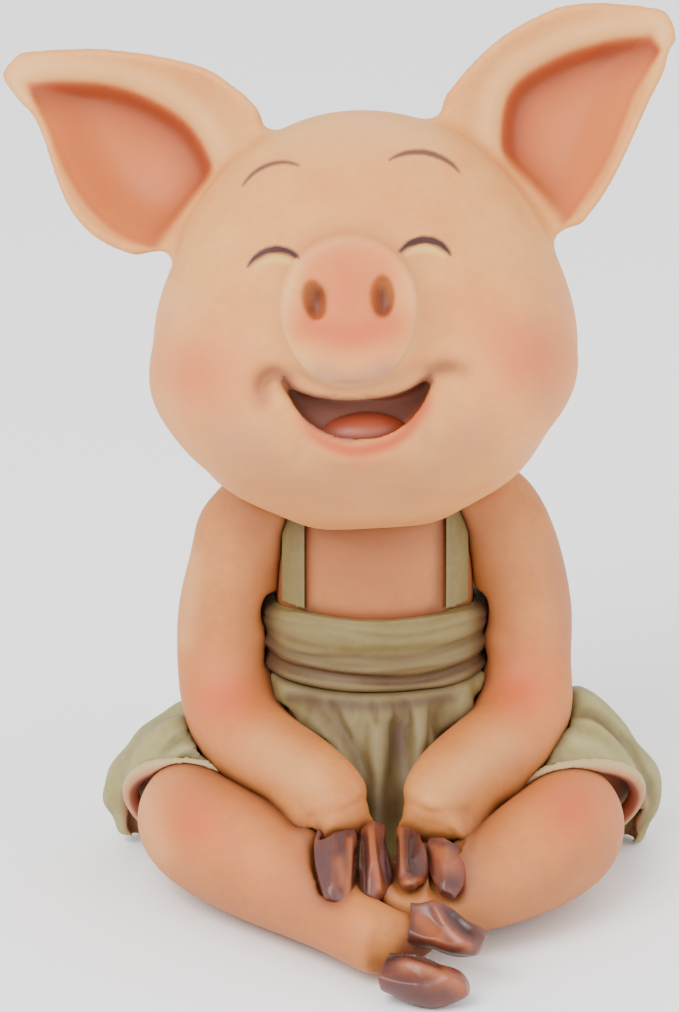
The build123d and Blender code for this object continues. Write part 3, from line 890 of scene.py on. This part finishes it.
def place_snout(head):
    """Sets the snout's disc where the photograph has it."""
    across, forward, up = in_head_frame(points_of(head)).T
    on_disc = 1 - eased(np.hypot(across, up - DISC_LEVEL), *DISC_EDGE)
    push_points(head, eased(-forward, SNOUT_ROOT, SNOUT_FACE) * on_disc, SNOUT_SHIFT)
    for line, width, push in NOSTRIL_NUDGES:
        nudge(head, line, width, push, FRONT_ONLY)
    across, forward, up = in_head_frame(points_of(head)).T
    start, most = LOWER_DISC
    lower = np.clip(-(up + start), 0, most) * (1 - eased(-up, 9.5, 12.5))
    weight = eased(-forward, SNOUT_ROOT, SNOUT_FACE + 0.5) * (1 - eased(np.abs(across), 9.5, 13.0))
    push_points(head, DISC_STRETCH * lower * weight, DISC_DOWN)


def hollow_ear(head, upper, lower, depth):
    """Sinks the inside of an ear behind its rolled upper rim, and paints it: pink inside, painted shade
    darkest under the rim and a painted highlight along the rim.
    """
    upper = smooth_line(upper, 5)
    lower = smooth_line(lower, 5)
    points = points_of(head)
    seen, facing = seen_from_front(head)
    across, forward, up = in_head_frame(points).T
    ear = eased(off_skull(across, forward, up), 1.02, 1.1) * (up > 4)
    inside = inside_of(seen, list(upper) + list(lower[::-1]))
    from_upper, _ = nearest_on_line(seen, upper)
    from_lower, _ = nearest_on_line(seen, lower)
    deepening = 0.15 + 0.85 * eased(from_lower, 0, HOLLOW_REACH)
    sunk = eased(inside, 0, 2) * eased(from_upper, 0, RIM_WIDTH) * deepening * ear
    sunk = blurred(head, sunk, 3)
    rim = np.exp(-(((from_upper - RIM_WIDTH) / RIM_SOFTNESS) ** 2)) * (inside < 0) * ear * (facing > 0)
    rim = blurred(head, rim, 4)
    back = np.array(HEAD.to_3x3() @ Vector((0, 1, 0)))
    points = points + sunk[:, None] * depth * back + normals_of(head) * (RIM_SWELL * rim)[:, None]
    move_points(head, points)
    front = ear * (facing > -0.2)
    within = eased(inside, -3, 4) * front
    add_to_mask(head, "warm", within)
    # Painted shade in the hollow, darkest under the upper rim; a painted highlight along the rim
    shadow = within * (np.exp(-((from_upper / SHADOW_REACH) ** 2)) * 0.85 + 0.12)
    add_to_mask(head, "deep", blurred(head, shadow, 2))
    add_to_mask(head, "pale", rim * 0.7)


def shape_mouth(head):
    """Opens the smile to its corners, rolls the lower lip and dimples the cheeks beside it."""
    for line, width, push in MOUTH_NUDGES:
        nudge(head, line, width, push, FRONT_ONLY)
    each(carve, head, MOUTH_CUTS)
    seen, _ = seen_from_front(head)
    forward = in_head_frame(points_of(head))[:, 1]
    inside = inside_of(seen, smooth_line(MOUTH + MOUTH[:1], 4)[:-1])
    keep_mask(head, "mouth", eased(inside, -3.5, 2.5) * (forward < -11))
    each(brush, head, MOUTH_STROKES)


def shape_eyes(head):
    """The closed lids: a sunk line over a small crescent ridge."""
    for eye, lid in ((LEFT_EYE, LEFT_LID), (RIGHT_EYE, RIGHT_LID)):
        carve(head, eye, 3.2, -0.22)
        carve(head, lid, 4.0, 0.3)
        carve(head, [(across, down - 7) for across, down in eye], 5.0, 0.15)


def colour_face(head):
    for cheek in CHEEKS:
        brush(head, "blush", [cheek], 36, 0.6)
        brush(head, "warm", [cheek], 66, 0.5)
    each(brush, head, FACE_STROKES)
    beside, below, above = SNOUT_REACH
    rim = []
    for turn in np.linspace(0, math.tau, 25):
        reach = below if math.sin(turn) > 0 else above
        rim.append((SNOUT_MIDDLE[0] + beside * math.cos(turn), SNOUT_MIDDLE[1] + reach * math.sin(turn)))
    # A painted highlight round the snout's rim
    brush(head, "pale", rim, 5, 0.6)
    each(brush, head, NOSTRIL_STROKES)


def face_lines(head):
    """The brush lines of brows and closed eyes, as arcs in the head's own frame."""
    skin = search_tree(head)

    def on_face(pixel):
        sight = Vector(AHEAD) + Vector(UPWARD) * ((FRAME_HEIGHT / 2 - pixel[1]) / FOCAL)
        sight += Vector(((pixel[0] - FRAME_WIDTH / 2) / FOCAL, 0, 0))
        place = skin.ray_cast(Vector(CAMERA_PLACE) * MM, sight.normalized())[0] / MM
        local = HEAD.inverted() @ place
        return local.x, local.z

    drawn = [
        # The lids' pale lines are painted highlight on their ridges
        (LEFT_LID, 0.42, LID_HIGHLIGHT),
        (RIGHT_LID, 0.42, LID_HIGHLIGHT),
        (LEFT_EYE, 0.46, EYE_LINE),
        (RIGHT_EYE, 0.5, EYE_LINE),
        (LEFT_BROW, 0.34, BROW),
        (RIGHT_BROW, 0.42, BROW),
    ]
    return [(arc_through(*map(on_face, line)), width, ink) for line, width, ink in drawn]


def make_head():
    head = casting("head_and_ears", HEAD_NODES, GRAIN["broad"], [neck_plug()])
    smooth_skull(head)
    soften(head, 2)
    place_snout(head)
    dab(head, RIGHT_EAR_TIP, 16.0, (-1.3, 0, 0.2))
    each(nudge, head, HEAD_OUTLINE)
    hollow_ear(head, LEFT_EAR_UPPER, LEFT_EAR_LOWER, LEFT_EAR_DEPTH)
    hollow_ear(head, RIGHT_EAR_UPPER, RIGHT_EAR_LOWER, RIGHT_EAR_DEPTH)
    shape_mouth(head)
    shape_eyes(head)
    colour_face(head)
    wash_and_shade_into_hollows(head, 0.5)
    return dressed(head, skin_paint("painted face", SKIN_LIGHT, SKIN_SHADE, face_lines(head)))


# The body's skins: nudges, smoothing and brush strokes for each
LIMB_STROKES = {
    # The brown strokes are painted shade: under the chin, on the inner upper arms, along the creases between
    # arms and legs and on the shins
    "torso": [
        ("brown", [(370, 560)], 90, 0.75),
        ("brown", [(310, 532), (370, 540), (435, 530)], 16, 0.5),
        # Painted shade along the straps' edges
        ("wash", [(303, 528), (303, 600), (312, 612)], 5, 0.6),
        ("wash", [(440, 520), (438, 600), (432, 610)], 5, 0.6),
        ("lip", [(320, 617), (430, 614)], 3, 0.5),
    ],
    "left_arm": [
        ("blush", [(222, 698)], 28, 0.75),
        ("warm", [(225, 700)], 55, 0.55),
        ("brown", [(262, 500), (268, 560), (262, 620), (258, 680)], 28, 0.5),
        ("brown", [(255, 500)], 34, 0.45),
        # The pale strokes are painted highlight on the lit outer arm and the forearm
        ("pale", [(192, 560), (184, 640)], 12, 0.4),
        ("pale", [(262, 740), (310, 775)], 22, 0.3),
    ],
    "right_arm": [
        ("blush", [(522, 688)], 28, 0.75),
        ("warm", [(522, 690)], 55, 0.55),
        ("brown", [(478, 500), (484, 560), (486, 620), (480, 670)], 30, 0.5),
        # Painted shade down the right arm's far side
        ("mauve", [(556, 540), (570, 640)], 18, 0.4),
        # The pale stroke is painted highlight on the forearm
        ("pale", [(505, 740), (430, 790)], 22, 0.3),
    ],
    "left_leg": [
        ("blush", [(195, 822)], 28, 0.75),
        ("warm", [(200, 820)], 55, 0.5),
        ("brown", [(215, 765), (260, 790), (290, 815), (310, 850), (320, 890)], 26, 0.7),
        ("brown", [(200, 890), (290, 925), (370, 965)], 30, 0.45),
    ],
    "right_leg": [
        ("blush", [(572, 808)], 30, 0.75),
        ("warm", [(568, 810)], 58, 0.5),
        ("brown", [(545, 745), (520, 765), (495, 795), (480, 820), (472, 850), (473, 885)], 26, 0.7),
        ("brown", [(490, 930), (560, 890), (600, 860)], 30, 0.45),
        ("wash", [(545, 745), (520, 765), (495, 795), (478, 822), (470, 850)], 5, 0.5),
        ("brown", [(440, 905), (470, 915), (490, 925)], 9, 0.5),
    ],
}
ANKLE = [(384, 900), (390, 930), (382, 955)]
LEFT_LEG_STROKES = [
    # The wash strokes are painted shade at the foot and along the crease by the arm
    ("wash", [(404, 952), (435, 950)], 8, 0.9),
    ("warm", [(260, 860), (330, 920)], 40, 0.4),
    ("wash", [(215, 765), (260, 790), (292, 815), (312, 850)], 5, 0.5),
    # The pale stroke is painted highlight on the lit knee
    ("pale", [(145, 800), (160, 850)], 16, 0.4),
    ("wash", [(408, 948), (432, 952), (458, 962)], 9, 1.0),
    ("wash", [(400, 890), (412, 905), (408, 944)], 4, 0.5),
]
WRIST_REACH = 6.5
WRISTS = {"left_arm": (-4.8, -27.8, 13.6), "right_arm": (8.0, -27.8, 13.6)}
WRIST_PUSHES = {"left_arm": (0.2, -0.9, -2.2), "right_arm": (-0.2, -0.9, -2.2)}

# Nudges on the front and all round, the smoothed line over the claws, and nudges after it
ARM_SHAPES = {
    "left_arm": (
        ([(303, 820)], 16, (-0.7, 0, -1.2)),
        ([(302, 824), (280, 808)], 12, (-0.3, 0, -0.8)),
        [(308, 824), (345, 814), (374, 800)],
        [
            ([(352, 826), (368, 816)], 13, (0.7, -0.2, -0.9)),
            ([(304, 826), (292, 818)], 12, (-0.2, 0, -0.9)),
            ([(185, 600)], 60, (-0.6, 0, 0)),
            ([(204, 516)], 30, (-0.7, 0, 0.3)),
            ([(262, 640)], 12, (0.5, 0, 0), FRONT_ONLY),
        ],
    ),
    "right_arm": (
        ([(470, 815)], 18, (1.2, 0, -1.3)),
        ([(462, 826), (488, 806), (512, 786)], 13, (0.5, 0, -1.3)),
        [(400, 805), (430, 818), (466, 812)],
        [
            ([(404, 818), (412, 828)], 13, (-0.6, -0.2, -0.9)),
            ([(470, 826), (480, 818)], 13, (0.3, 0, -0.9)),
            ([(578, 660)], 40, (-0.7, 0, 0)),
            ([(492, 640)], 12, (-0.8, 0, 0), FRONT_ONLY),
        ],
    ),
}
CLAW_BED = 0.5
LEFT_LEG_FILL = ([(306, 834), (312, 838)], 9, (0.3, -0.2, 0.9))
RIGHT_LEG_FILL = ([(460, 848), (468, 844)], 12, (-0.1, 0, 0.55))
FOOT_PLACES = [(3.0, -41.5, 5.6), (4.0, -41.5, 5.6), (5.6, -41.9, 5.2), (5.0, -41.8, 5.4)]
FOOT_REACH = 8.0
LEFT_LEG_SMOOTHED = [
    ([(388, 900), (390, 925)], 16, 90),
    ([(400, 880), (412, 892), (424, 888)], 9, 60),
]
RIGHT_LEG_SMOOTHED = [
    ([(400, 880), (412, 892), (424, 884)], 9, 60),
    ([(432, 872), (438, 896), (456, 902), (468, 884)], 9, 60),
]


def make_skin(node):
    return casting(f"{node}_skin", [node], GRAIN["broad"])


def make_arm(node, beds):
    """An arm with its wrist drawn down over the claws, which lie in beds pressed into it."""
    arm = make_skin(node)
    front, around, crease, later = ARM_SHAPES[node]
    soften(arm, 8)
    dab(arm, WRISTS[node], WRIST_REACH, WRIST_PUSHES[node])
    soften(arm, 120, [WRISTS[node]], 5.5)
    nudge(arm, *front, FRONT_ONLY)
    nudge(arm, *around)
    smooth_over(arm, crease, 12, 100)
    each(nudge, arm, later)
    for outline in beds:
        sink_under(arm, outline, CLAW_BED)
    return arm


def make_leg(node, beds, fill):
    """A leg with beds for the claws that rest on it, filled up to the hand beside them."""
    leg = make_skin(node)
    soften(leg, 8)
    for outline in beds:
        sink_under(leg, outline, CLAW_BED)
    nudge(leg, *fill)
    return leg


def draw_out_foot(leg):
    """Draws the end of the crossing leg out to the claws of its foot."""
    end, around_end, cleft, around_cleft = FOOT_PLACES
    dab(leg, end, 7.5, (2.8, -0.4, 0))
    soften(leg, 120, [around_end], FOOT_REACH)
    dab(leg, cleft, 5.6, (3.6, -0.6, -0.7))
    soften(leg, 30, [around_cleft], FOOT_REACH)


def colour_limbs(limbs):
    for node, strokes in LIMB_STROKES.items():
        each(brush, limbs[node], strokes)
    left_leg = limbs["left_leg"]
    # The painted shade and wash are taken back off the ankle
    for mask in ("wash", "brown"):
        wipe(left_leg, mask, ANKLE, 26, 0.85)
    each(brush, left_leg, LEFT_LEG_STROKES)


# Dress
SKIRT_NODES = ["skirt", "skirt_front", "left_skirt_puff", "right_skirt_puff"]
WAIST_MIDDLE = (0.0, 2.0)
WAIST, PLEAT_FOOT = 23.0, 8.0
PLEATS = 17
PLEAT_HEIGHT = 0.55
SKIRT_OUTLINE = [
    ([(588, 690)], 34, (0.2, 0, 3.0)),
    ([(566, 668)], 26, (0, 0, 2.2)),
    ([(644, 742)], 22, (-0.9, 0, -0.3)),
    ([(178, 690)], 20, (0, 0, 2.2)),
    ([(118, 742)], 20, (0.7, 0, -0.2)),
    ([(103, 802)], 14, (-0.5, 0, 0)),
]

# The puffs' rims, each with how far its middle is drawn across
PUFF_RIMS = [
    ([(118, 785), (121, 812), (134, 840)], 0.8),
    ([(648, 790), (642, 822), (626, 844)], -0.8),
]
LEFT_PUFF_FOOT = ([(128, 846)], 14, (0, 0, 1.0))
SKIRT_FOLDS = [
    ([(395, 715), (397, 750), (390, 800)], 8, -0.7),
    ([(374, 712), (371, 740), (378, 780)], 9, 0.5),
    ([(330, 700), (340, 722), (352, 742)], 4, -0.6),
    ([(354, 702), (360, 726)], 4, 0.3),
    ([(372, 700), (377, 724)], 4, -0.55),
    ([(388, 700), (391, 722)], 4, 0.3),
    ([(404, 700), (410, 724)], 4, -0.55),
    ([(432, 698), (431, 735), (424, 760)], 4.5, -0.6),
    ([(312, 706), (350, 745), (372, 785)], 6, -0.4),
    ([(415, 705), (420, 745), (408, 790)], 7, 0.4),
    ([(205, 722), (172, 742), (140, 775)], 5, -0.6),
    ([(215, 742), (182, 752), (150, 780)], 5, 0.5),
    ([(190, 712), (160, 730), (125, 775)], 5, 0.45),
    ([(205, 752), (180, 760)], 4, -0.4),
    ([(550, 722), (588, 724), (614, 740), (636, 775), (642, 803), (630, 824)], 5, 0.75),
    ([(560, 708), (598, 716), (628, 744), (648, 780), (654, 810)], 5, -0.7),
    ([(570, 690), (604, 706), (645, 760)], 5, 0.3),
    ([(608, 850), (634, 838), (652, 815)], 4, -0.5),
]
SKIRT_STROKES = [
    # The wash strokes are painted shade over the front, in its folds, along the waist and in its lower V
    ("wash", [(370, 700), (372, 760)], 85, 0.22),
    ("wash", [(398, 720), (396, 770), (390, 815)], 13, 0.55),
    ("wash", [(386, 806)], 26, 0.75),
    ("wash", [(290, 698), (370, 706), (450, 698)], 7, 0.8),
    ("wash", [(332, 702), (341, 722), (352, 742)], 4, 0.5),
    ("wash", [(372, 702), (377, 724)], 4, 0.45),
    ("wash", [(404, 702), (410, 724)], 4, 0.45),
    ("wash", [(312, 708), (345, 738), (372, 785)], 8, 0.45),
    ("wash", [(434, 706), (430, 750), (405, 795)], 8, 0.4),
    # The light strokes on the fold crests are partly painted highlight
    ("worn", [(356, 730), (366, 775)], 11, 0.5),
    ("worn", [(418, 730), (410, 770)], 8, 0.4),
    ("worn", [(550, 722), (588, 724), (614, 740), (636, 775), (642, 803)], 7, 0.7),
    ("wash", [(562, 708), (598, 715), (628, 743), (650, 784)], 4, 0.4),
    ("wash", [(208, 728), (190, 736), (172, 742)], 5, 0.35),
    # Painted shade over the skirt's front
    ("browned", [(330, 720), (372, 760), (420, 720)], 70, 0.65),
    ("inside", [(127, 795), (130, 822), (140, 842)], 7, 0.95),
    ("inside", [(641, 795), (637, 820), (628, 842)], 7, 0.95),
    ("cloth", [(207, 748), (176, 754), (146, 768), (124, 800), (124, 830)], 9, 0.7),
    ("cloth", [(575, 740), (606, 752), (634, 785), (632, 830)], 9, 0.6),
]

# Folds round the bodice: level, height and width in millimetres
SHIRRED_FOLDS = [
    (36.3, -0.45, 0.8),
    (34.4, -0.2, 0.4),
    (32.9, 0.1, 0.8),
    (31.3, -0.35, 0.5),
    (30.1, 0.35, 0.5),
    (28.7, -0.6, 0.7),
    (27.3, 0.2, 0.5),
]
BODICE_CORNERS = [
    ([(266, 596)], 20, (0, 0, -1.3)),
    ([(487, 594)], 20, (0, 0, -1.4)),
]
BODICE_STROKES = [
    # Painted shadow down the bodice's sides, under the arms
    ("wash", [(266, 610), (268, 650), (272, 690)], 11, 0.9),
    ("wash", [(486, 600), (484, 650), (480, 690)], 12, 0.9),
]
# How much painted shade lies over the straps
STRAP_SHADE = 0.7
DARK_FOLDS_BELOW = 35
BODICE_SIDE = (11.0, 14.0)
SIDE_TUCK = 0.8

# The puffs' open ends: middle, how far each is to its side, and the way that it faces
PUFF_MIDDLE = (1.2, -6.6, 8.6)
PUFF_SPREAD = 21.2
PUFF_HEADING = math.radians(24.0)
PUFF_TILT = -0.55
PUFF_RADIUS = (12.0, 13.0)


def gather(skirt):
    """Soft pleats that run down from the waist and die out."""
    points = points_of(skirt)
    turn = np.arctan2(points[:, 0] - WAIST_MIDDLE[0], -(points[:, 1] - WAIST_MIDDLE[1]))
    wave = np.sin(PLEATS * turn + 1.7 * np.sin(2 * turn) + 0.9 * np.sin(5 * turn))
    fade = eased(points[:, 2], PLEAT_FOOT, WAIST) * (1 - eased(points[:, 2], WAIST, WAIST + 3))
    push_points(skirt, PLEAT_HEIGHT * fade * np.clip(wave, -1, 0.7), normals_of(skirt))


def shirr(bodice):
    """Drawn-in folds round the bodice, deeper towards its foot, with painted shade in the deeper folds low
    down.
    """
    points = points_of(bodice)
    turn = np.arctan2(points[:, 0], -points[:, 1])
    push = np.zeros(len(points))
    dark = np.zeros(len(points))
    for level, height, width in SHIRRED_FOLDS:
        wavy = level + 0.35 * np.sin(2.0 * turn + level) + 0.25 * np.sin(5.0 * turn + 2.3 * level)
        fold = np.exp(-(((points[:, 2] - wavy) / width) ** 2))
        push += height * fold
        if height < -0.2:
            dark = np.maximum(dark, fold * min(0.9, -height * 1.6))
    push_points(bodice, push, normals_of(bodice))
    add_to_mask(bodice, "wash", blurred(bodice, dark * (points[:, 2] < DARK_FOLDS_BELOW), 3))


def tuck_sides(bodice):
    """Draws the bodice's sides in, where the arms lie on it."""
    points = points_of(bodice)
    side = eased(np.abs(points[:, 0] - 0.2), *BODICE_SIDE)
    points[:, 1] += side * SIDE_TUCK * (points[:, 1] < 0)
    move_points(bodice, points)


def fold_dress(skirt):
    """The folds of the dress that the photograph shows, and softer ones behind."""
    gather(skirt)
    each(nudge, skirt, SKIRT_OUTLINE)
    for rim, pull in PUFF_RIMS:
        smooth_over(skirt, rim, 9, 60)
        nudge(skirt, [rim[1]], 13, (pull, 0, 0.4))
    nudge(skirt, *LEFT_PUFF_FOOT)
    each(carve, skirt, SKIRT_FOLDS)
    each(brush, skirt, SKIRT_STROKES)


def puff_mouth(side):
    """The middle of a puff's open end, and the way that it faces."""
    across, forward, up = PUFF_MIDDLE
    outward = np.array((side * math.sin(PUFF_HEADING), -math.cos(PUFF_HEADING), PUFF_TILT))
    return np.array((across + side * PUFF_SPREAD, forward, up)), outward / np.linalg.norm(outward)


def line_mouths(skirt):
    """The brown inside of the dress between cloth and knee."""
    for side in (-1, 1):
        middle, outward = puff_mouth(side)
        from_mouth = points_of(skirt) - middle
        depth = from_mouth @ outward
        wide = np.linalg.norm(from_mouth - depth[:, None] * outward, axis=1)
        facing = np.einsum("ij,ij->i", normals_of(skirt), -from_mouth)
        inside = (1 - eased(wide, *PUFF_RADIUS)) * (1 - eased(depth, -0.8, 0.6)) * eased(depth, -7.0, -5.0)
        add_to_mask(skirt, "inside", blurred(skirt, inside * (facing > 0), 3))


def make_bodice():
    bodice = casting("shirred_bodice", ["bodice"], GRAIN["bodice"])
    soften(bodice, 6)
    shirr(bodice)
    tuck_sides(bodice)
    each(nudge, bodice, BODICE_CORNERS)
    return bodice


def shade_bodice(bodice):
    """Painted shade over the bodice, fuller towards its foot, and painted shadow down its sides along the
    arms.
    """
    height = points_of(bodice)[:, 2]
    foot = 1 - eased(height, height.min() + 2.5, height.max() - 2.5)
    keep_mask(bodice, "browned", 0.7 + 0.3 * foot)
    each(brush, bodice, BODICE_STROKES)


def colour_hem(hem, side):
    """Cloth outside, bare brown inside, by the way that the roll faces."""
    soften(hem, 3)
    middle, outward = puff_mouth(side)
    to_middle = middle - points_of(hem)
    to_middle -= (to_middle @ outward)[:, None] * outward
    to_middle /= np.linalg.norm(to_middle, axis=1)[:, None]
    inward = np.einsum("ij,ij->i", normals_of(hem), to_middle)
    keep_mask(hem, "inside", eased(inward, -0.1, 0.45))
    keep_mask(hem, "cloth", 0.7 - 0.7 * eased(inward, -0.75, -0.3))
    wash_and_shade_into_hollows(hem)
    dressed(hem, HEM)


# Hooves
def make_claw(node, outline, forward, ridges, grooves, copper, mauve):
    """A claw with carved flats, painted from copper, partly painted highlight, to mauve, with painted shade
    nearly black in its cuts.
    """
    claw = casting(f"{node}_carved", [node], GRAIN["claw"])
    soften(claw, 16 if "foot" in node else 6)
    stretch_to(claw, outline, forward)
    for line, width, height in ridges:
        carve(claw, line, width, height, 0.3)
    for line, width, height in grooves:
        carve(claw, line, width, -height, 0.3)
        brush(claw, "wash", line, width * 1.4, 0.85)
    wash_and_shade_into_hollows(claw, 0.15, 10)
    for line, width in copper:
        brush(claw, "copper", line, width, 0.9)
    for line, width in mauve:
        brush(claw, "mauve", line, width, 0.85)
    return dressed(claw, HOOF)


LEFT_OUTER = [
    (313, 838), (317, 831), (330, 832), (345, 831), (356, 828), (358, 845), (356, 868), (354, 890),
    (348, 904), (339, 911), (327, 901), (318, 878), (314, 855),
]
LEFT_INNER = [
    (360, 832), (373, 820), (380, 820), (386, 838), (391, 862), (394, 884), (385, 898), (370, 903),
    (361, 900), (359, 868),
]
RIGHT_INNER = [
    (396, 824), (404, 826), (416, 832), (425, 844), (428, 864), (428, 880), (414, 887), (399, 888),
    (396, 866),
]
RIGHT_OUTER = [
    (424, 843), (431, 838), (446, 839), (459, 847), (466, 862), (465, 882), (459, 894), (450, 899),
    (438, 891), (430, 872),
]
FOOT_UPPER = [
    (412, 907), (409, 925), (408, 943), (430, 948), (450, 956), (472, 957), (485, 944), (487, 932),
    (470, 921), (452, 908), (435, 899), (420, 900),
]
FOOT_LOWER = [
    (376, 979), (383, 962), (402, 951), (419, 955), (438, 963), (456, 970), (472, 984), (468, 995),
    (448, 1006), (430, 1008), (402, 1001), (384, 990),
]

# Outline, push forwards, ridges and grooves (pixels, width, height; the grooves get painted shade), then
# copper paint, partly painted highlight, and mauve paint
CLAWS = {
    "left_hand_outer_claw": (
        LEFT_OUTER,
        0.9,
        [([(350, 836), (352, 865), (348, 895)], 4, 0.3)],
        [([(357, 850), (355, 885)], 3, 0.3)],
        [([(350, 840), (351, 870), (347, 893)], 4), ([(340, 862), (343, 882)], 6)],
        [([(318, 850), (324, 885), (338, 904)], 8), ([(318, 834), (352, 832)], 5)],
    ),
    "left_hand_inner_claw": (
        LEFT_INNER,
        0.6,
        [([(370, 828), (374, 858), (380, 892)], 4, 0.5)],
        [([(362, 838), (362, 866), (364, 895)], 4, 0.5), ([(386, 840), (390, 880)], 3, 0.2)],
        [([(370, 830), (374, 858), (380, 888)], 5)],
        [([(384, 840), (388, 880)], 5)],
    ),
    "right_hand_inner_claw": (
        RIGHT_INNER,
        0.7,
        [([(401, 828), (402, 875)], 4, 0.4), ([(402, 884), (424, 880)], 4, 0.35)],
        [([(410, 838), (413, 872)], 5, 0.45), ([(396, 840), (396, 872)], 3, 0.2)],
        [([(400, 830), (401, 872)], 4), ([(404, 882), (420, 880)], 4)],
        [([(416, 845), (422, 870)], 7)],
    ),
    "right_hand_outer_claw": (
        RIGHT_OUTER,
        1.1,
        [([(440, 846), (450, 868)], 12, 0.3)],
        [([(427, 850), (431, 874)], 3, 0.2)],
        [([(440, 848), (450, 864)], 12)],
        [([(450, 884)], 10), ([(432, 841), (456, 846)], 4), ([(450, 884)], 7)],
    ),
    "left_foot_upper_claw": (
        FOOT_UPPER,
        0.3,
        [([(434, 904), (448, 928), (474, 948)], 5, 0.5)],
        [([(430, 951), (450, 958), (470, 960)], 4, 0.3), ([(452, 914), (470, 932)], 4, 0.35)],
        [([(420, 918), (438, 936)], 10), ([(446, 930), (468, 948)], 5)],
        [([(455, 918), (480, 936)], 6), ([(412, 908), (410, 940)], 4)],
    ),
    "left_foot_lower_claw": (
        FOOT_LOWER,
        0.3,
        [([(396, 962), (425, 966), (462, 984)], 6, 0.4)],
        [([(386, 960), (402, 953), (420, 958), (440, 966)], 3, 0.3)],
        [([(405, 966), (435, 972), (462, 988)], 8)],
        [([(395, 988), (425, 1000)], 12), ([(384, 964), (400, 956)], 5)],
    ),
}

# The pieces
head = make_head()
tongue = casting("tongue_casting", ["tongue"], GRAIN["tongue"])
soften(tongue, 4)
# Darker along the tongue's lower edge, where it meets the lip
brush(tongue, "wash", TONGUE_SIDES, 3, 0.7)
dressed(tongue, TONGUE)
torso = make_skin("torso")
left_arm = make_arm("left_arm", (LEFT_OUTER, LEFT_INNER))
right_arm = make_arm("right_arm", (RIGHT_OUTER, RIGHT_INNER))
left_leg = make_leg("left_leg", (LEFT_OUTER, LEFT_INNER), LEFT_LEG_FILL)
right_leg = make_leg("right_leg", (RIGHT_OUTER, RIGHT_INNER), RIGHT_LEG_FILL)
draw_out_foot(left_leg)
each(smooth_over, left_leg, LEFT_LEG_SMOOTHED)
each(smooth_over, right_leg, RIGHT_LEG_SMOOTHED)
skirt = casting("skirt_casting", SKIRT_NODES, GRAIN["broad"])
soften(skirt, 6)
fold_dress(skirt)
line_mouths(skirt)
hems = [casting(f"{side}_hem_roll", [f"{side}_hem"], GRAIN["hem"]) for side in ("left", "right")]
bodice = make_bodice()
straps = [casting(f"{side}_strap_band", [f"{side}_strap"], GRAIN["strap"]) for side in ("left", "right")]
claws = [make_claw(node, *CLAWS[node]) for node in CLAWS]

# Wash and painted shade in the seams, then the paints
arms = [left_arm, right_arm]
legs = [left_leg, right_leg]
neighbours = [
    (torso, [bodice, *straps, *arms, head], 1.0),
    (left_arm, [bodice, skirt, *straps, left_leg, *claws[:2]], 0.9),
    (right_arm, [bodice, skirt, *straps, right_leg, *claws[2:4]], 0.9),
    (left_leg, [*arms, *hems, skirt, *claws], 1.0),
    (right_leg, [*arms, *hems, skirt, *claws, left_leg], 1.0),
    (skirt, [*arms, bodice, *legs], 1.2),
    (bodice, [*arms], 1.2),
]
for piece, others, reach in neighbours:
    wash_and_shade_along_seams(piece, others, reach)
limbs = dict(zip(LIMB_STROKES, (torso, *arms, *legs)))
for limb in limbs.values():
    wash_and_shade_into_hollows(limb, 0.4)
    dressed(limb, SKIN)
colour_limbs(limbs)
shade_bodice(bodice)
# Painted shade over the straps
for strap in straps:
    keep_mask(strap, "browned", np.full(len(strap.data.vertices), STRAP_SHADE))
for cloth in (skirt, bodice, *straps):
    wash_and_shade_into_hollows(cloth, 0.3)
    dressed(cloth, DRESS)
for hem, side in zip(hems, (-1, 1)):
    colour_hem(hem, side)

# Floor, light and camera
FLOOR_WHITE = (0.96, 0.96, 0.96, 1)
FLOOR_ROUGHNESS = 0.9
WORLD_STRENGTH = 1.6
SOFTBOX_SIZE = 0.5
LIGHTS_AIM = (0, 0, 0.06)

nothing_selected()
bpy.ops.mesh.primitive_plane_add(size=6.0, location=(0, 0, 0))
floor = bpy.context.object
floor.name = "pale_floor"
floor_paint = bpy.data.materials.new("pale floor")
floor_paint.use_nodes = True
floor_shader = floor_paint.node_tree.nodes["Principled BSDF"]
floor_shader.inputs["Base Color"].default_value = FLOOR_WHITE
floor_shader.inputs["Roughness"].default_value = FLOOR_ROUGHNESS
floor.data.materials.append(floor_paint)

world = bpy.data.worlds.new("soft white studio")
world.use_nodes = True
world.node_tree.nodes["Background"].inputs["Color"].default_value = (1, 1, 1, 1)
world.node_tree.nodes["Background"].inputs["Strength"].default_value = WORLD_STRENGTH
bpy.context.scene.world = world


def softbox(name, place, power):
    bpy.ops.object.light_add(type="AREA", location=place)
    light = bpy.context.object
    light.name = name
    light.data.shape = "SQUARE"
    light.data.size = SOFTBOX_SIZE
    light.data.energy = power
    light.rotation_euler = (Vector(LIGHTS_AIM) - Vector(place)).to_track_quat("-Z", "Y").to_euler()


softbox("key", (-0.35, -0.55, 0.65), 9.0)
softbox("fill", (0.55, -0.45, 0.25), 2.4)

bpy.ops.object.camera_add(location=tuple(CAMERA_PLACE * MM), rotation=(CAMERA_TILT, 0, 0))
camera = bpy.context.object
camera.data.lens = LENS
camera.data.sensor_width = SENSOR
bpy.context.scene.camera = camera
